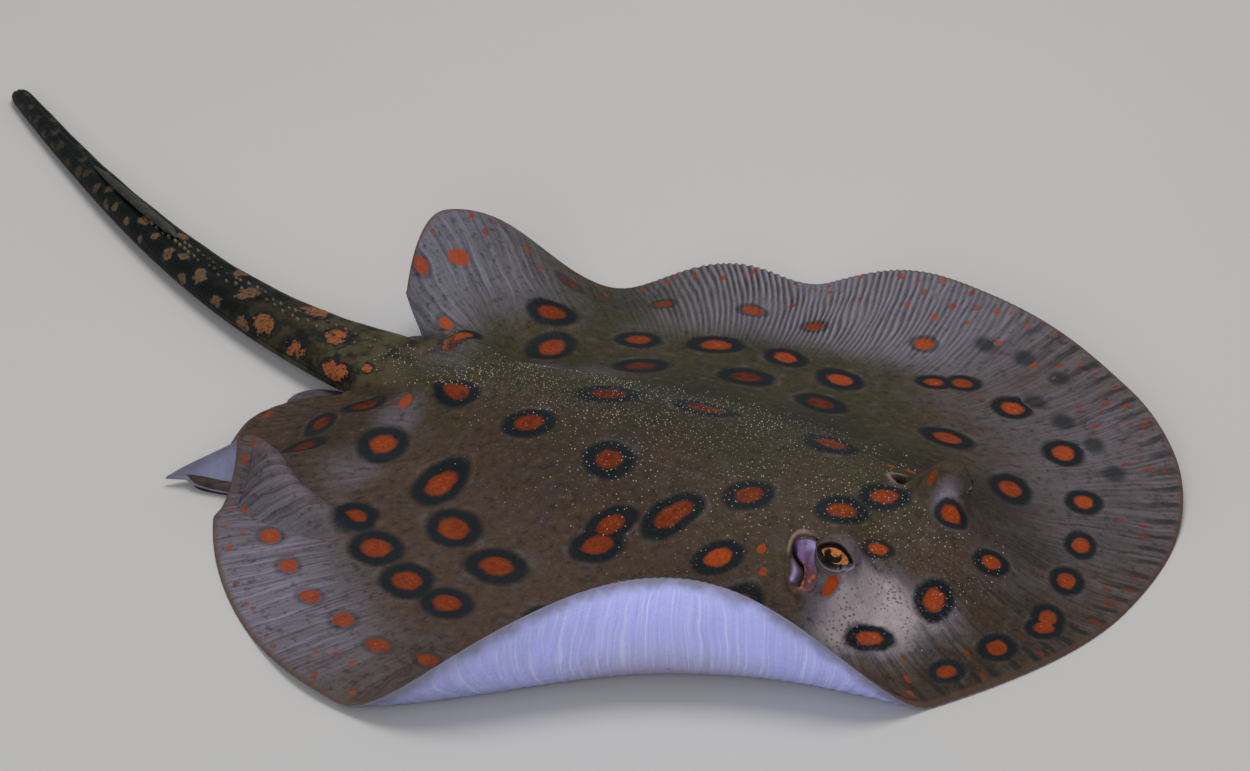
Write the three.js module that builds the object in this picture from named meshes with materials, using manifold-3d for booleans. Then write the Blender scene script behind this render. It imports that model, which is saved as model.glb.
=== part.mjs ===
// Ocellate river stingray (Potamotrygon motoro), an adult female lying on a flat floor.
// Life size, in millimetres. The origin is on the floor under the middle of the disc,
// +X points to the snout, +Y to the animal's left and +Z up.
//
// The disc is one sheet. Its underside is found by walking out from the middle along a ray at
// each angle (0 = snout, 90 = left), turning upwards where the edge is lifted or rolled; its
// back stands off the underside by the thickness of the body. Thin cuts then part it.

import * as THREE from "three";
import { mergeVertices } from "three/addons/utils/BufferGeometryUtils.js";
import Module from "manifold-3d";

// ---------------------------------------------------------------- driving dimensions

const GAP = 0.3;

const disc = { radius: 181, rim: 1.8, wing: 11, wingPower: 1.6 };

// Where the outline swells out (+) or is drawn in (-), by angle, with its reach in degrees.
const outlineSwells = [
  { name: "blunt snout", at: 0, reach: 50, by: -17 },
  { name: "right front, drawn in by its roll", at: -43, reach: 60, by: -25 },
  { name: "left front", at: 72, reach: 62, by: 7 },
  { name: "left rear corner", at: 163, reach: 23, by: 20 },
  { name: "right rear edge", at: -125, reach: 50, by: -6 },
  { name: "right rear, before its corner", at: -145, reach: 7, by: -8 },
  { name: "right rear corner", at: -150.8, reach: 3.8, by: 20 },
  { name: "notch at the tail", at: 180, reach: 19, by: -38 },
];

// The right edge is rolled up and over: a bend of constant radius that fades at both ends.
const roll = { at: -57, frontReach: 40, rearReach: 36, bend: 168, radius: 19.3, fade: 2.2, opening: 4 };

// The left edge is lifted in waves. The bend grows between two fractions of the way out.
const lifts = [
  { name: "rear corner", at: 163, frontReach: 25, rearReach: 16, bend: 41, from: 0.5, to: 0.88 },
  { name: "middle wave", at: 124, frontReach: 13, rearReach: 14, bend: 14, from: 0.6, to: 0.85 },
  { name: "shoulder wave", at: 96, frontReach: 32, rearReach: 22, bend: 26, from: 0.6, to: 0.86 },
  { name: "front lift", at: 64, frontReach: 34, rearReach: 28, bend: 17, from: 0.66, to: 0.9 },
  { name: "right rim by the roll", at: -97, frontReach: 14, rearReach: 16, bend: 7, from: 0.8, to: 0.95 },
];

// Beside the tail the disc lies on the pelvic fins, so it is this much higher there.
const pelvicSeat = { height: 4.4, full: 24, fade: 12, beside: 4, slope: 5, from: 0.6, to: 0.76 };

// The right rear corner stands up in a fold, steep on its tail side.
const fold = {
  at: -146.3, slant: 64, slantFrom: 0.96, height: 20, innerEnd: 0.66, outerEnd: 0.96,
  nearWidth: 6.5, farWidth: 5, overhang: 0.8, recover: 20, reach: 46,
};

// Thickness of the trunk above the wing, and its half width, along X.
const trunkHeight = [
  [-155, 5], [-135, 12], [-80, 17.5], [-30, 21], [20, 25], [60, 26.5],
  [90, 24], [112, 16], [132, 7], [152, 1], [170, 0],
];
const trunkWidth = [[-155, 17], [-120, 25], [-40, 46], [30, 57], [80, 55], [120, 44], [170, 34]];
const trunkEdge = 2.5;

const eye = { x: 96, y: 36.5, z: 34, radius: 8, around: 16, down: 10 };
const eyeMound = { x: 93, y: 32.5, z: 21, length: 18, width: 14, height: 19, turn: 10 };
const browDip = { x: 92, reach: 26, width: 17, depth: 3.5 };
const spiracle = { x: 78, y: 42, z: 30, length: 8, width: 5.5, height: 9, turn: 24 };
const ovalSides = { around: 16, down: 10 };

// The tail sets off nearly straight back (heading 0), and beyond its straight part swings to the
// left, quickly at first. Then come its width and height along it.
const tail = { rootX: -118, rootY: -2, length: 369, heading: -3, straight: 42, swing: 28, over: 112 };
const tailWidths = [
  [0, 46], [0.08, 43], [0.2, 32], [0.36, 24], [0.55, 18], [0.75, 13], [0.97, 9], [1, 6],
];
const tailHeights = [
  [0, 12], [0.07, 18], [0.2, 17], [0.36, 14.5], [0.55, 12.5], [0.75, 10], [0.97, 7.5], [1, 5],
];
const tailSides = 14;
const tailSteps = 26;
const tailPlanSteps = 20;
const tailTipClearance = 5;
const tailFlat = 0.86;

// Half the distance over which the slope of the sheet is measured.
const slopeStep = 0.6;
const walkSteps = 120;

// The sheet's grid lines run closer at the fold and by the tail, and lean with the fold's crest.
const sheetLines = { start: -180, wide: 5, byFold: 1.5, foldWithin: 9, byTail: 3, tailWithin: 15 };
const sheetRows = [0.2, 0.42, 0.56, 0.66, 0.74, 0.8, 0.855, 0.905, 0.945, 0.98, 1];

// The sting lies along the top of the tail between two shares of the tail's length.
const sting = {
  root: 0.47, tip: 0.71, width: 5.2, thickness: 2.6, barbs: 9, barb: 0.5, smoothRoot: 3,
  pointing: 0.88, pointingPower: 3, edgeHeight: 0.3, topWidth: 0.45, soleWidth: 0.5,
};

// A pelvic fin's leaf outline, in shares of its length backwards and of its width outwards.
const pelvic = { x: -134, y: 17, length: 40, width: 32, thickness: 3.6, curveSteps: 5 };
const pelvicOutline = {
  start: [0, 0],
  curves: [
    { pull: [0.35, -0.12], end: [0.86, 0.1] },
    { pull: [1.04, 0.36], end: [0.8, 0.66] },
    { pull: [0.5, 1.02], end: [0.16, 0.95] },
    { pull: [-0.06, 0.5], end: [0, 0] },
  ],
};

// Plan of the trunk and head within the disc, and where the body is parted.
const core = {
  front: 127, rear: -150, halfWidth: 62, neckX: 44, tailX: -139, centreX: -12, sides: 46,
  square: 0.72, narrowing: 0.3,
};
const tailCuts = [-240, -355];
const finCuts = [
  { name: "left_fin_front", from: 0, to: 50 },
  { name: "left_fin_shoulder", from: 50, to: 93 },
  { name: "left_fin_middle", from: 93, to: 135 },
  { name: "left_fin_rear", from: 135, to: 178 },
  { name: "right_fin_rear_corner", from: -178, to: -128 },
  { name: "right_fin_rear", from: -128, to: -93 },
  { name: "right_fin_roll_rear", from: -93, to: -57 },
  { name: "right_fin_roll_front", from: -57, to: -20 },
  { name: "right_fin_front", from: -20, to: 0 },
];

const colours = {
  back: 0x4f463a, fin: 0x5b4c46, head: 0x584b3a, paleFin: 0x7a776f, tailDark: 0x23241d,
  tailBase: 0x4b4129, sting: 0x15150f, eye: 0x9a5a26, pelvic: 0x66564c,
};

// ---------------------------------------------------------------- small helpers

const radians = THREE.MathUtils.degToRad;
const clamp01 = (t) => THREE.MathUtils.clamp(t, 0, 1);
const ramp = (t) => THREE.MathUtils.smoothstep(t, 0, 1);
const turn = (degrees) => THREE.MathUtils.euclideanModulo(degrees + 180, 360) - 180;

function hump(t) {
  const inside = clamp01(1 - t * t);
  return inside * inside;
}

function along(keys, x) {
  const last = keys.length - 1;
  if (x <= keys[0][0]) return keys[0][1];
  if (x >= keys[last][0]) return keys[last][1];
  const i = keys.findIndex((key) => key[0] > x) - 1;
  const slope = (k) => {
    const a = keys[Math.max(k - 1, 0)];
    const b = keys[Math.min(k + 1, last)];
    return (b[1] - a[1]) / (b[0] - a[0]);
  };
  const span = keys[i + 1][0] - keys[i][0];
  const t = (x - keys[i][0]) / span;
  const rise = keys[i + 1][1] - keys[i][1];
  const blend = t * t * (3 - 2 * t);
  const pull = t * (1 - t);
  return keys[i][1] + rise * blend + pull * span * (slope(i) * (1 - t) - slope(i + 1) * t);
}

function reachOf(feature, offset) {
  return offset < 0 ? -offset / feature.belowReach : offset / feature.aboveReach;
}

// ---------------------------------------------------------------- the sheet of the disc

function outline(angle) {
  let length = disc.radius;
  for (const swell of outlineSwells) {
    length += swell.by * hump(turn(angle - swell.at) / swell.reach);
  }
  return length;
}

// Reaches are given towards the snout and towards the tail; these are by angle instead.
function byAngle(feature) {
  const left = turn(feature.at) > 0;
  const belowReach = left ? feature.frontReach : feature.rearReach;
  const aboveReach = left ? feature.rearReach : feature.frontReach;
  return { ...feature, belowReach, aboveReach };
}

const rollByAngle = byAngle(roll);
const liftsByAngle = lifts.map(byAngle);

function bendAt(angle, distance, length) {
  const fraction = distance / length;
  let bend = 0;
  const away = reachOf(rollByAngle, turn(angle - roll.at));
  const strength = clamp01(1 - away ** roll.fade);
  if (strength > 0) {
    const radius = roll.radius + roll.opening * (1 - strength);
    const arc = radians(roll.bend) * strength * radius;
    bend += Math.max(0, (distance - (length - arc)) / radius);
  }
  for (const lift of liftsByAngle) {
    const share = hump(reachOf(lift, turn(angle - lift.at)));
    bend += radians(lift.bend) * share * ramp((fraction - lift.from) / (lift.to - lift.from));
  }
  return bend;
}

function undersideAt(angle, distance) {
  const length = outline(angle);
  const step = distance / walkSteps;
  let out = 0;
  let up = 0;
  for (let i = 0; i < walkSteps; i += 1) {
    const bend = bendAt(angle, (i + 0.5) * step, length);
    out += Math.cos(bend) * step;
    up += Math.sin(bend) * step;
  }
  const fraction = distance / length;
  const strength = ramp((fraction - fold.innerEnd) / (fold.outerEnd - fold.innerEnd));
  const crest = fold.at + fold.slant * Math.max(0, fold.slantFrom - fraction);
  const past = turn(angle - crest);
  const rise = past >= 0 ? 1 - ramp(past / fold.nearWidth) : 1 - ramp(-past / fold.farWidth);
  let sweep = 0;
  if (past < 0) {
    const steep = Math.min(-past, fold.farWidth);
    const over = fold.overhang * ramp(steep / fold.farWidth);
    sweep = (steep + over) * (1 - ramp((-past - fold.farWidth) / fold.recover));
  }
  const heading = radians(angle + sweep * strength);
  up += fold.height * strength * rise;
  const fromTail = Math.abs(turn(angle - 180));
  const seatOuter = 1 - ramp((fromTail - pelvicSeat.full) / pelvicSeat.fade);
  const seatShare = seatOuter * ramp((fromTail - pelvicSeat.beside) / pelvicSeat.slope);
  const seatDepth = ramp((fraction - pelvicSeat.from) / (pelvicSeat.to - pelvicSeat.from));
  up += pelvicSeat.height * seatShare * seatDepth;
  return new THREE.Vector3(out * Math.cos(heading), out * Math.sin(heading), up);
}

function thicknessAt(angle, distance) {
  const x = distance * Math.cos(radians(angle));
  const y = distance * Math.sin(radians(angle));
  const fraction = distance / outline(angle);
  const wing = disc.wing * (1 - fraction ** disc.wingPower);
  const across = Math.exp(-((Math.abs(y) / along(trunkWidth, x)) ** trunkEdge));
  let thickness = disc.rim + wing + along(trunkHeight, x) * across;
  thickness -= browDip.depth * hump((x - browDip.x) / browDip.reach) * hump(y / browDip.width);
  return thickness;
}

function backAt(angle, distance) {
  const inner = undersideAt(angle, distance - slopeStep);
  const outer = undersideAt(angle, distance + slopeStep);
  const before = undersideAt(angle - slopeStep, distance);
  const after = undersideAt(angle + slopeStep, distance);
  const outwards = outer.sub(inner);
  const round = after.sub(before);
  const normal = outwards.cross(round).normalize();
  return undersideAt(angle, distance).addScaledVector(normal, thicknessAt(angle, distance));
}

function sheetAngles() {
  const angles = [];
  let angle = sheetLines.start;
  while (angle < sheetLines.start + 360 - sheetLines.byFold) {
    angles.push(angle);
    if (Math.abs(angle - fold.at) < sheetLines.foldWithin) {
      angle += sheetLines.byFold;
    } else if (180 - Math.abs(angle) < sheetLines.tailWithin) {
      angle += sheetLines.byTail;
    } else {
      angle += sheetLines.wide;
    }
  }
  return angles;
}

function leaning(angle, row) {
  const lean = fold.slant * Math.max(0, fold.slantFrom - Math.max(row, fold.innerEnd));
  return angle + lean * hump(turn(angle - fold.at) / fold.reach);
}

function geometryFrom(points, triangles) {
  const geometry = new THREE.BufferGeometry();
  geometry.setAttribute("position", new THREE.Float32BufferAttribute(points.flatMap((p) => p.toArray()), 3));
  geometry.setIndex(triangles.flat());
  return geometry;
}

function discGeometry() {
  const angles = sheetAngles();
  const count = angles.length;
  const points = [new THREE.Vector3(0, 0, 0)];
  for (const row of sheetRows) {
    const leaned = angles.map((angle) => leaning(angle, row));
    points.push(...leaned.map((angle) => undersideAt(angle, row * outline(angle))));
  }
  for (const row of [...sheetRows].reverse()) {
    const leaned = angles.map((angle) => leaning(angle, row));
    points.push(...leaned.map((angle) => backAt(angle, row * outline(angle))));
  }
  points.push(new THREE.Vector3(0, 0, thicknessAt(0, 0)));
  const top = points.length - 1;
  const rings = sheetRows.length * 2;
  const at = (ring, i) => 1 + ring * count + (i % count);
  const triangles = [];
  for (let i = 0; i < count; i += 1) {
    triangles.push([0, at(0, i + 1), at(0, i)]);
    triangles.push([top, at(rings - 1, i), at(rings - 1, i + 1)]);
  }
  for (let ring = 0; ring < rings - 1; ring += 1) {
    for (let i = 0; i < count; i += 1) {
      triangles.push([at(ring, i), at(ring, i + 1), at(ring + 1, i)]);
      triangles.push([at(ring, i + 1), at(ring + 1, i + 1), at(ring + 1, i)]);
    }
  }
  return geometryFrom(points, triangles);
}

// ---------------------------------------------------------------- tail, sting, fins, eyes

function tailHeadingAt(distance) {
  const past = Math.max(0, distance - tail.straight);
  return radians(tail.heading + tail.swing * (1 - Math.exp(-past / tail.over)));
}

function tailFrame(share) {
  const distance = share * tail.length;
  const step = distance / walkSteps;
  const middle = new THREE.Vector3(tail.rootX, tail.rootY, 0);
  for (let i = 0; i < walkSteps; i += 1) {
    const heading = tailHeadingAt((i + 0.5) * step);
    middle.x -= Math.cos(heading) * step;
    middle.y += Math.sin(heading) * step;
  }
  const heading = tailHeadingAt(distance);
  const forward = new THREE.Vector3(-Math.cos(heading), Math.sin(heading), 0);
  const side = new THREE.Vector3(-forward.y, forward.x, 0);
  return { middle, forward, side };
}

// Rings of equal size are joined into a closed body with flat ends.
function loftGeometry(rings) {
  const sides = rings[0].length;
  const points = rings.flat();
  const triangles = [];
  for (let ring = 0; ring < rings.length - 1; ring += 1) {
    for (let i = 0; i < sides; i += 1) {
      const a = ring * sides + i;
      const b = ring * sides + ((i + 1) % sides);
      triangles.push([a, b, a + sides]);
      triangles.push([b, b + sides, a + sides]);
    }
  }
  const lastRing = (rings.length - 1) * sides;
  for (let i = 1; i < sides - 1; i += 1) {
    triangles.push([0, i + 1, i]);
    triangles.push([lastRing, lastRing + i, lastRing + i + 1]);
  }
  return geometryFrom(points, triangles);
}

function tailRing(share) {
  const { middle, side } = tailFrame(share);
  const halfWidth = along(tailWidths, share) / 2;
  const height = along(tailHeights, share);
  const ring = [];
  for (let i = 0; i < tailSides; i += 1) {
    const turnBy = (i / tailSides) * 2 * Math.PI;
    const up = Math.max(0.5 + (0.5 * Math.sin(turnBy)) / tailFlat, 0);
    const point = middle.clone().addScaledVector(side, Math.cos(turnBy) * halfWidth);
    point.z = height * Math.min(up, 1);
    ring.push(point);
  }
  return ring;
}

function tailGeometry() {
  const rings = [];
  for (let i = 0; i <= tailSteps; i += 1) {
    rings.push(tailRing(i / tailSteps));
  }
  return loftGeometry(rings);
}

function stingGeometry() {
  const rings = [];
  const steps = sting.barbs * 2;
  for (let i = 0; i <= steps; i += 1) {
    const part = i / steps;
    const share = THREE.MathUtils.lerp(sting.root, sting.tip, part);
    const { middle, side } = tailFrame(share);
    const taper = Math.sqrt(1 - sting.pointing * part ** sting.pointingPower);
    const notch = i % 2 === 1 && i > sting.smoothRoot ? -sting.barb : 0;
    const halfWidth = (sting.width * taper) / 2 + notch;
    const floor = along(tailHeights, share) + GAP;
    const height = sting.thickness * taper;
    const corner = (across, up) => {
      const point = middle.clone().addScaledVector(side, across * halfWidth);
      point.z = floor + up * height;
      return point;
    };
    rings.push([
      corner(1, sting.edgeHeight),
      corner(sting.topWidth, 1),
      corner(-sting.topWidth, 1),
      corner(-1, sting.edgeHeight),
      corner(-sting.soleWidth, 0),
      corner(sting.soleWidth, 0),
    ]);
  }
  return loftGeometry(rings);
}

// A pelvic fin is a rounded leaf that lies on the floor beside the root of the tail.
function pelvicGeometry(sideSign) {
  const place = ([back, out]) => [-back * pelvic.length, out * pelvic.width];
  const shape = new THREE.Shape();
  shape.moveTo(...place(pelvicOutline.start));
  for (const curve of pelvicOutline.curves) {
    shape.quadraticCurveTo(...place(curve.pull), ...place(curve.end));
  }
  const geometry = new THREE.ExtrudeGeometry(shape, {
    depth: pelvic.thickness, bevelEnabled: false, curveSegments: pelvic.curveSteps,
  });
  if (sideSign < 0) {
    geometry.scale(1, -1, 1);
    const index = [...Array(geometry.attributes.position.count).keys()];
    for (let i = 0; i < index.length; i += 3) {
      [index[i + 1], index[i + 2]] = [index[i + 2], index[i + 1]];
    }
    geometry.setIndex(index);
  }
  geometry.translate(pelvic.x, pelvic.y * sideSign + tailOffsetAt(pelvic.x), 0);
  return geometry;
}

// Sideways place of the tail's middle within its straight part.
function tailOffsetAt(x) {
  return tail.rootY + (tail.rootX - x) * Math.tan(radians(tail.heading));
}

function eyeGeometry(radius, sideSign) {
  const geometry = new THREE.SphereGeometry(radius, eye.around, eye.down);
  geometry.rotateX(Math.PI / 2);
  geometry.translate(eye.x, eye.y * sideSign, eye.z);
  return geometry;
}

function ovalGeometry(oval, sideSign) {
  const geometry = new THREE.SphereGeometry(1, ovalSides.around, ovalSides.down);
  geometry.rotateX(Math.PI / 2);
  geometry.scale(oval.length, oval.width, oval.height);
  geometry.rotateZ(radians(oval.turn) * sideSign);
  geometry.translate(oval.x, oval.y * sideSign, oval.z);
  return geometry;
}

// ---------------------------------------------------------------- joining and cutting

const wasm = await Module();
wasm.setup();

const weldWithin = 1e-4;

function solidOf(geometry) {
  const bare = geometry.clone();
  bare.deleteAttribute("normal");
  bare.deleteAttribute("uv");
  const merged = mergeVertices(bare, weldWithin);
  const index = merged.getIndex().array;
  const triangles = [];
  for (let i = 0; i < index.length; i += 3) {
    const [a, b, c] = [index[i], index[i + 1], index[i + 2]];
    if (a !== b && b !== c && c !== a) triangles.push(a, b, c);
  }
  const mesh = new wasm.Mesh({
    numProp: 3,
    vertProperties: new Float32Array(merged.getAttribute("position").array),
    triVerts: new Uint32Array(triangles),
  });
  return new wasm.Manifold(mesh);
}

function geometryOf(solid) {
  const mesh = solid.getMesh();
  const geometry = new THREE.BufferGeometry();
  geometry.setAttribute("position", new THREE.BufferAttribute(new Float32Array(mesh.vertProperties), 3));
  geometry.setIndex(new THREE.BufferAttribute(new Uint32Array(mesh.triVerts), 1));
  geometry.computeVertexNormals();
  return geometry;
}

const cutter = { bottom: -20, height: 160, far: 600 };

function prism(planPoints) {
  const shape = new THREE.Shape(planPoints.map(([x, y]) => new THREE.Vector2(x, y)));
  const geometry = new THREE.ExtrudeGeometry(shape, { depth: cutter.height, bevelEnabled: false });
  geometry.translate(0, 0, cutter.bottom);
  return solidOf(geometry);
}

// Egg-shaped plan of head and trunk: wide at the gills, drawn out to the root of the tail.
function corePlan(offset) {
  const points = [];
  for (let i = 0; i < core.sides; i += 1) {
    const heading = ((i + 0.5) / core.sides) * 2 * Math.PI;
    const c = Math.cos(heading);
    const s = Math.sin(heading);
    const reach = (c > 0 ? core.front : -core.rear) + (c > 0 ? -core.centreX : core.centreX);
    const narrowing = c < 0 ? 1 - core.narrowing * c * c : 1;
    const power = c > 0 ? core.square : 1;
    const x = core.centreX + Math.sign(c) * Math.abs(c) ** power * (reach + offset);
    const y = Math.sign(s) * Math.abs(s) ** power * (core.halfWidth * narrowing + offset);
    points.push([x, y]);
  }
  return prism(points);
}

function tailPlan(offset) {
  const near = [];
  const far = [];
  for (let i = 0; i <= tailPlanSteps; i += 1) {
    const share = i / tailPlanSteps;
    const { middle, forward, side } = tailFrame(share);
    const half = along(tailWidths, share) / 2 + offset + GAP;
    const beyond = i === tailPlanSteps ? tailTipClearance : 0;
    const point = middle.clone().addScaledVector(forward, beyond);
    near.push(point.clone().addScaledVector(side, half));
    far.unshift(point.clone().addScaledVector(side, -half));
  }
  return prism([...near, ...far].map((p) => [p.x, p.y]));
}

function slab(fromX, toX) {
  return prism([[fromX, -cutter.far], [toX, -cutter.far], [toX, cutter.far], [fromX, cutter.far]]);
}

// A wedge between two headings from the middle, with half a gap taken off each side.
function wedge(from, to) {
  const a = radians(from);
  const b = radians(to);
  const middle = (a + b) / 2;
  const tip = GAP / 2 / Math.sin((b - a) / 2);
  const x = tip * Math.cos(middle);
  const y = tip * Math.sin(middle);
  const reach = cutter.far;
  const corner = (heading) => [x + reach * Math.cos(heading), y + reach * Math.sin(heading)];
  return prism([[x, y], corner(a), corner(middle), corner(b)]);
}

// ---------------------------------------------------------------- the model

const group = new THREE.Group();

function addMesh(name, geometry, colour, roughness = 0.45) {
  const material = new THREE.MeshStandardMaterial({ color: colour, roughness, metalness: 0 });
  const mesh = new THREE.Mesh(geometry, material);
  mesh.name = name;
  group.add(mesh);
}

let body = solidOf(discGeometry()).add(solidOf(tailGeometry()));
const coreInside = corePlan(0);
const coreOutside = corePlan(GAP);
const tailInside = tailPlan(0);
const tailOutside = tailPlan(GAP);

for (const sideSign of [-1, 1]) {
  body = body.add(solidOf(ovalGeometry(eyeMound, sideSign)));
  body = body.subtract(solidOf(ovalGeometry(spiracle, sideSign)));
  body = body.subtract(solidOf(eyeGeometry(eye.radius + GAP, sideSign)));
}

const middleBody = body.intersect(coreInside);
const front = middleBody.intersect(slab(core.neckX + GAP / 2, cutter.far));
const rest = middleBody.intersect(slab(core.tailX + GAP / 2, core.neckX - GAP / 2));
addMesh("head", geometryOf(front), colours.head);
addMesh("trunk", geometryOf(rest), colours.back);

const behindTrunk = slab(-cutter.far, core.tailX - GAP / 2);
const wholeTail = body.intersect(tailInside).intersect(behindTrunk);
const tailParts = [
  { name: "tail_base", from: tailCuts[0], to: cutter.far, colour: colours.tailBase },
  { name: "tail_middle", from: tailCuts[1], to: tailCuts[0], colour: colours.tailDark },
  { name: "tail_tip", from: -cutter.far, to: tailCuts[1], colour: colours.tailDark },
];
for (const part of tailParts) {
  const length = wholeTail.intersect(slab(part.from + GAP / 2, part.to - GAP / 2));
  addMesh(part.name, geometryOf(length), part.colour);
}

const pelvicSolids = [-1, 1].map((sideSign) => solidOf(pelvicGeometry(sideSign)));
const fins = body.subtract(coreOutside).subtract(tailOutside);
const pelvicNames = ["pelvic_fin_right", "pelvic_fin_left"];
pelvicSolids.forEach((solid, i) => {
  const clear = solid.subtract(coreOutside).subtract(tailOutside);
  addMesh(pelvicNames[i], geometryOf(clear), colours.pelvic);
});
for (const cut of finCuts) {
  const colour = cut.name.includes("middle") || cut.name.includes("roll") ? colours.paleFin : colours.fin;
  addMesh(cut.name, geometryOf(fins.intersect(wedge(cut.from, cut.to))), colour);
}

addMesh("sting", stingGeometry(), colours.sting, 0.5);
addMesh("eye_right", eyeGeometry(eye.radius, -1), colours.eye, 0.15);
addMesh("eye_left", eyeGeometry(eye.radius, 1), colours.eye, 0.15);

export default group;
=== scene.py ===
"""Ocellate river stingray (Potamotrygon motoro) lying on a floor, life size.

One skin covers the whole animal: a sheet walked out from the middle of the disc along lines at
each angle (0 = snout, 90 = left), with its back standing off its underside by the body's
thickness, and the tail grown from the sheet's rear edge. Shapes are worked out in millimetres
in the frame of the CAD part (+X to the snout, +Y to the left, +Z up) and become metres only
when a mesh is made. "Flat" coordinates are those of the sheet before it was bent.
"""

import math
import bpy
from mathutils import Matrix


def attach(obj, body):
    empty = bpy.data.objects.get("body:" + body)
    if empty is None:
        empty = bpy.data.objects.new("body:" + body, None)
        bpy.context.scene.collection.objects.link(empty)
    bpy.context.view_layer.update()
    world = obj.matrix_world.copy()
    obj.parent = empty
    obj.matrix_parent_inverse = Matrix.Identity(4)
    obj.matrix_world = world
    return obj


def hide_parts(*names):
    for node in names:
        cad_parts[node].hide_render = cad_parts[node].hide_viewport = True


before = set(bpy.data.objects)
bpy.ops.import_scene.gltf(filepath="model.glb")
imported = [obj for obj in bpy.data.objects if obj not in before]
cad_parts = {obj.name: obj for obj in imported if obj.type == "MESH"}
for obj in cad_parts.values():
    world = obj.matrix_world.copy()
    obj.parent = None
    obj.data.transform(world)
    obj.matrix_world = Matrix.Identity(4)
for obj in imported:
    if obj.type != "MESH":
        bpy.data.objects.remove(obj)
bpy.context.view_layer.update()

from types import SimpleNamespace as Sizes

import bpy
import numpy as np
from mathutils import Vector

MM = 0.001
SEED = 20

# ---------------------------------------------------------------- body dimensions, in mm

COAT_DEPTH = 0.3
DISC_RADIUS, RIM, WING, WING_POWER = 181, 1.8, 11, 1.6

# (angle, reach in degrees, by): where the outline swells out or is drawn in.
OUTLINE_SWELLS = [
    (0, 50, -17), (-43, 60, -25), (72, 62, 7), (163, 23, 20),
    (-125, 50, -6), (-145, 7, -8), (-150.8, 3.8, 20), (180, 19, -38),
]
ROLL = Sizes(at=-57, below=36, above=40, bend=168, radius=19.3, fade=2.2, opening=4)

# (angle, reach below, reach above, bend in degrees, from, to): lifts of the edge.
LIFTS = [
    (163, 25, 16, 41, 0.5, 0.88), (124, 13, 14, 14, 0.6, 0.85), (96, 32, 22, 26, 0.6, 0.86),
    (64, 34, 28, 17, 0.66, 0.9), (-97, 16, 14, 7, 0.8, 0.95),
]
PELVIC_SEAT = Sizes(height=4.4, full=24, fade=12, beside=4, slope=5, inner=0.6, outer=0.76)
FOLD = Sizes(
    at=-146.3, slant=64, slant_from=0.96, height=20, inner=0.66, outer=0.96,
    near=6.5, far=5, overhang=0.8, recover=20, reach=46,
)
TRUNK_HEIGHT = [
    (-155, 5), (-135, 12), (-80, 17.5), (-30, 21), (20, 25), (60, 26.5),
    (90, 24), (112, 16), (132, 7), (152, 1), (170, 0),
]
TRUNK_WIDTH = [(-155, 17), (-120, 25), (-40, 46), (30, 57), (80, 55), (120, 44), (170, 34)]
TRUNK_EDGE = 2.5
BROW_DIP = Sizes(x=92, reach=26, width=17, depth=3.5)

EYE = Sizes(x=93.6, y=33, z=34.9, radius=7.2)
EYE_MOUND = Sizes(x=93, y=32.5, length=19, width=16, height=14.5)

# The tail sets off nearly straight back, and beyond its straight part swings to the left.
TAIL = Sizes(root=(-118, -2), length=369, heading=-3, straight=42, swing=28, over=112)
TAIL_WIDTHS = [(0, 46), (.08, 43), (.2, 32), (.36, 24), (.55, 18), (.75, 13), (.97, 9), (1, 6)]
TAIL_HEIGHTS = [
    (0, 12), (.07, 18), (.2, 17), (.36, 14.5), (.55, 12.5), (.75, 10), (.97, 7.5), (1, 5),
]
TAIL_FLAT = 0.86

# ---------------------------------------------------------------- small helpers


def ramp(t):
    t = np.clip(t, 0, 1)
    return t * t * (3 - 2 * t)


def hump(t):
    return np.clip(1 - t * t, 0, 1) ** 2


def ridge(value, middle, half):
    """1 at the middle, falling to 0 at half its width on both sides."""
    return hump((value - middle) / half)


def turn(degrees):
    return (degrees + 180) % 360 - 180


def between(low, high, share):
    return low + (high - low) * share


def stacked(*parts):
    """One array of the parts, stretched to one shape, side by side along a new last axis."""
    return np.stack(np.broadcast_arrays(*parts), axis=-1)


def lifted(plan, height):
    """Points at these heights over the places of a plan."""
    return np.concatenate([plan, height[..., None]], axis=-1)


def smooth_max(a, b, blend):
    mix = np.clip(0.5 + 0.5 * (a - b) / blend, 0, 1)
    return b + (a - b) * mix + blend * mix * (1 - mix)


def along(keys, x):
    """A smooth curve through the keys, flat beyond its ends."""
    keys = np.array(keys, float)
    places, values = keys[:, 0], keys[:, 1]
    last = len(places) - 1
    before = np.maximum(np.arange(last + 1) - 1, 0)
    after = np.minimum(np.arange(last + 1) + 1, last)
    slopes = (values[after] - values[before]) / (places[after] - places[before])
    i = np.clip(np.searchsorted(places, x, side="right") - 1, 0, last - 1)
    span = places[i + 1] - places[i]
    t = np.clip((x - places[i]) / span, 0, 1)
    blend = t * t * (3 - 2 * t)
    pull = t * (1 - t) * span * (slopes[i] * (1 - t) - slopes[i + 1] * t)
    return between(values[i], values[i + 1], blend) + pull


def spread(low, high, count, dense):
    """count places from low to high, closer together where dense(place) is larger."""
    fine = np.linspace(low, high, 4000)
    share = np.concatenate([[0], np.cumsum(dense(0.5 * (fine[1:] + fine[:-1])))])
    return np.interp(np.linspace(0, share[-1], count), share, fine)


def unit(vectors):
    return vectors / np.maximum(np.linalg.norm(vectors, axis=-1, keepdims=True), 1e-9)


# ---------------------------------------------------------------- the sheet of the disc


def outline(angle):
    length = np.full(np.shape(angle), float(DISC_RADIUS))
    for at, reach, by in OUTLINE_SWELLS:
        length = length + by * hump(turn(angle - at) / reach)
    return length


def reach_of(offset, below, above):
    return np.where(offset < 0, -offset / below, offset / above)


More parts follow.
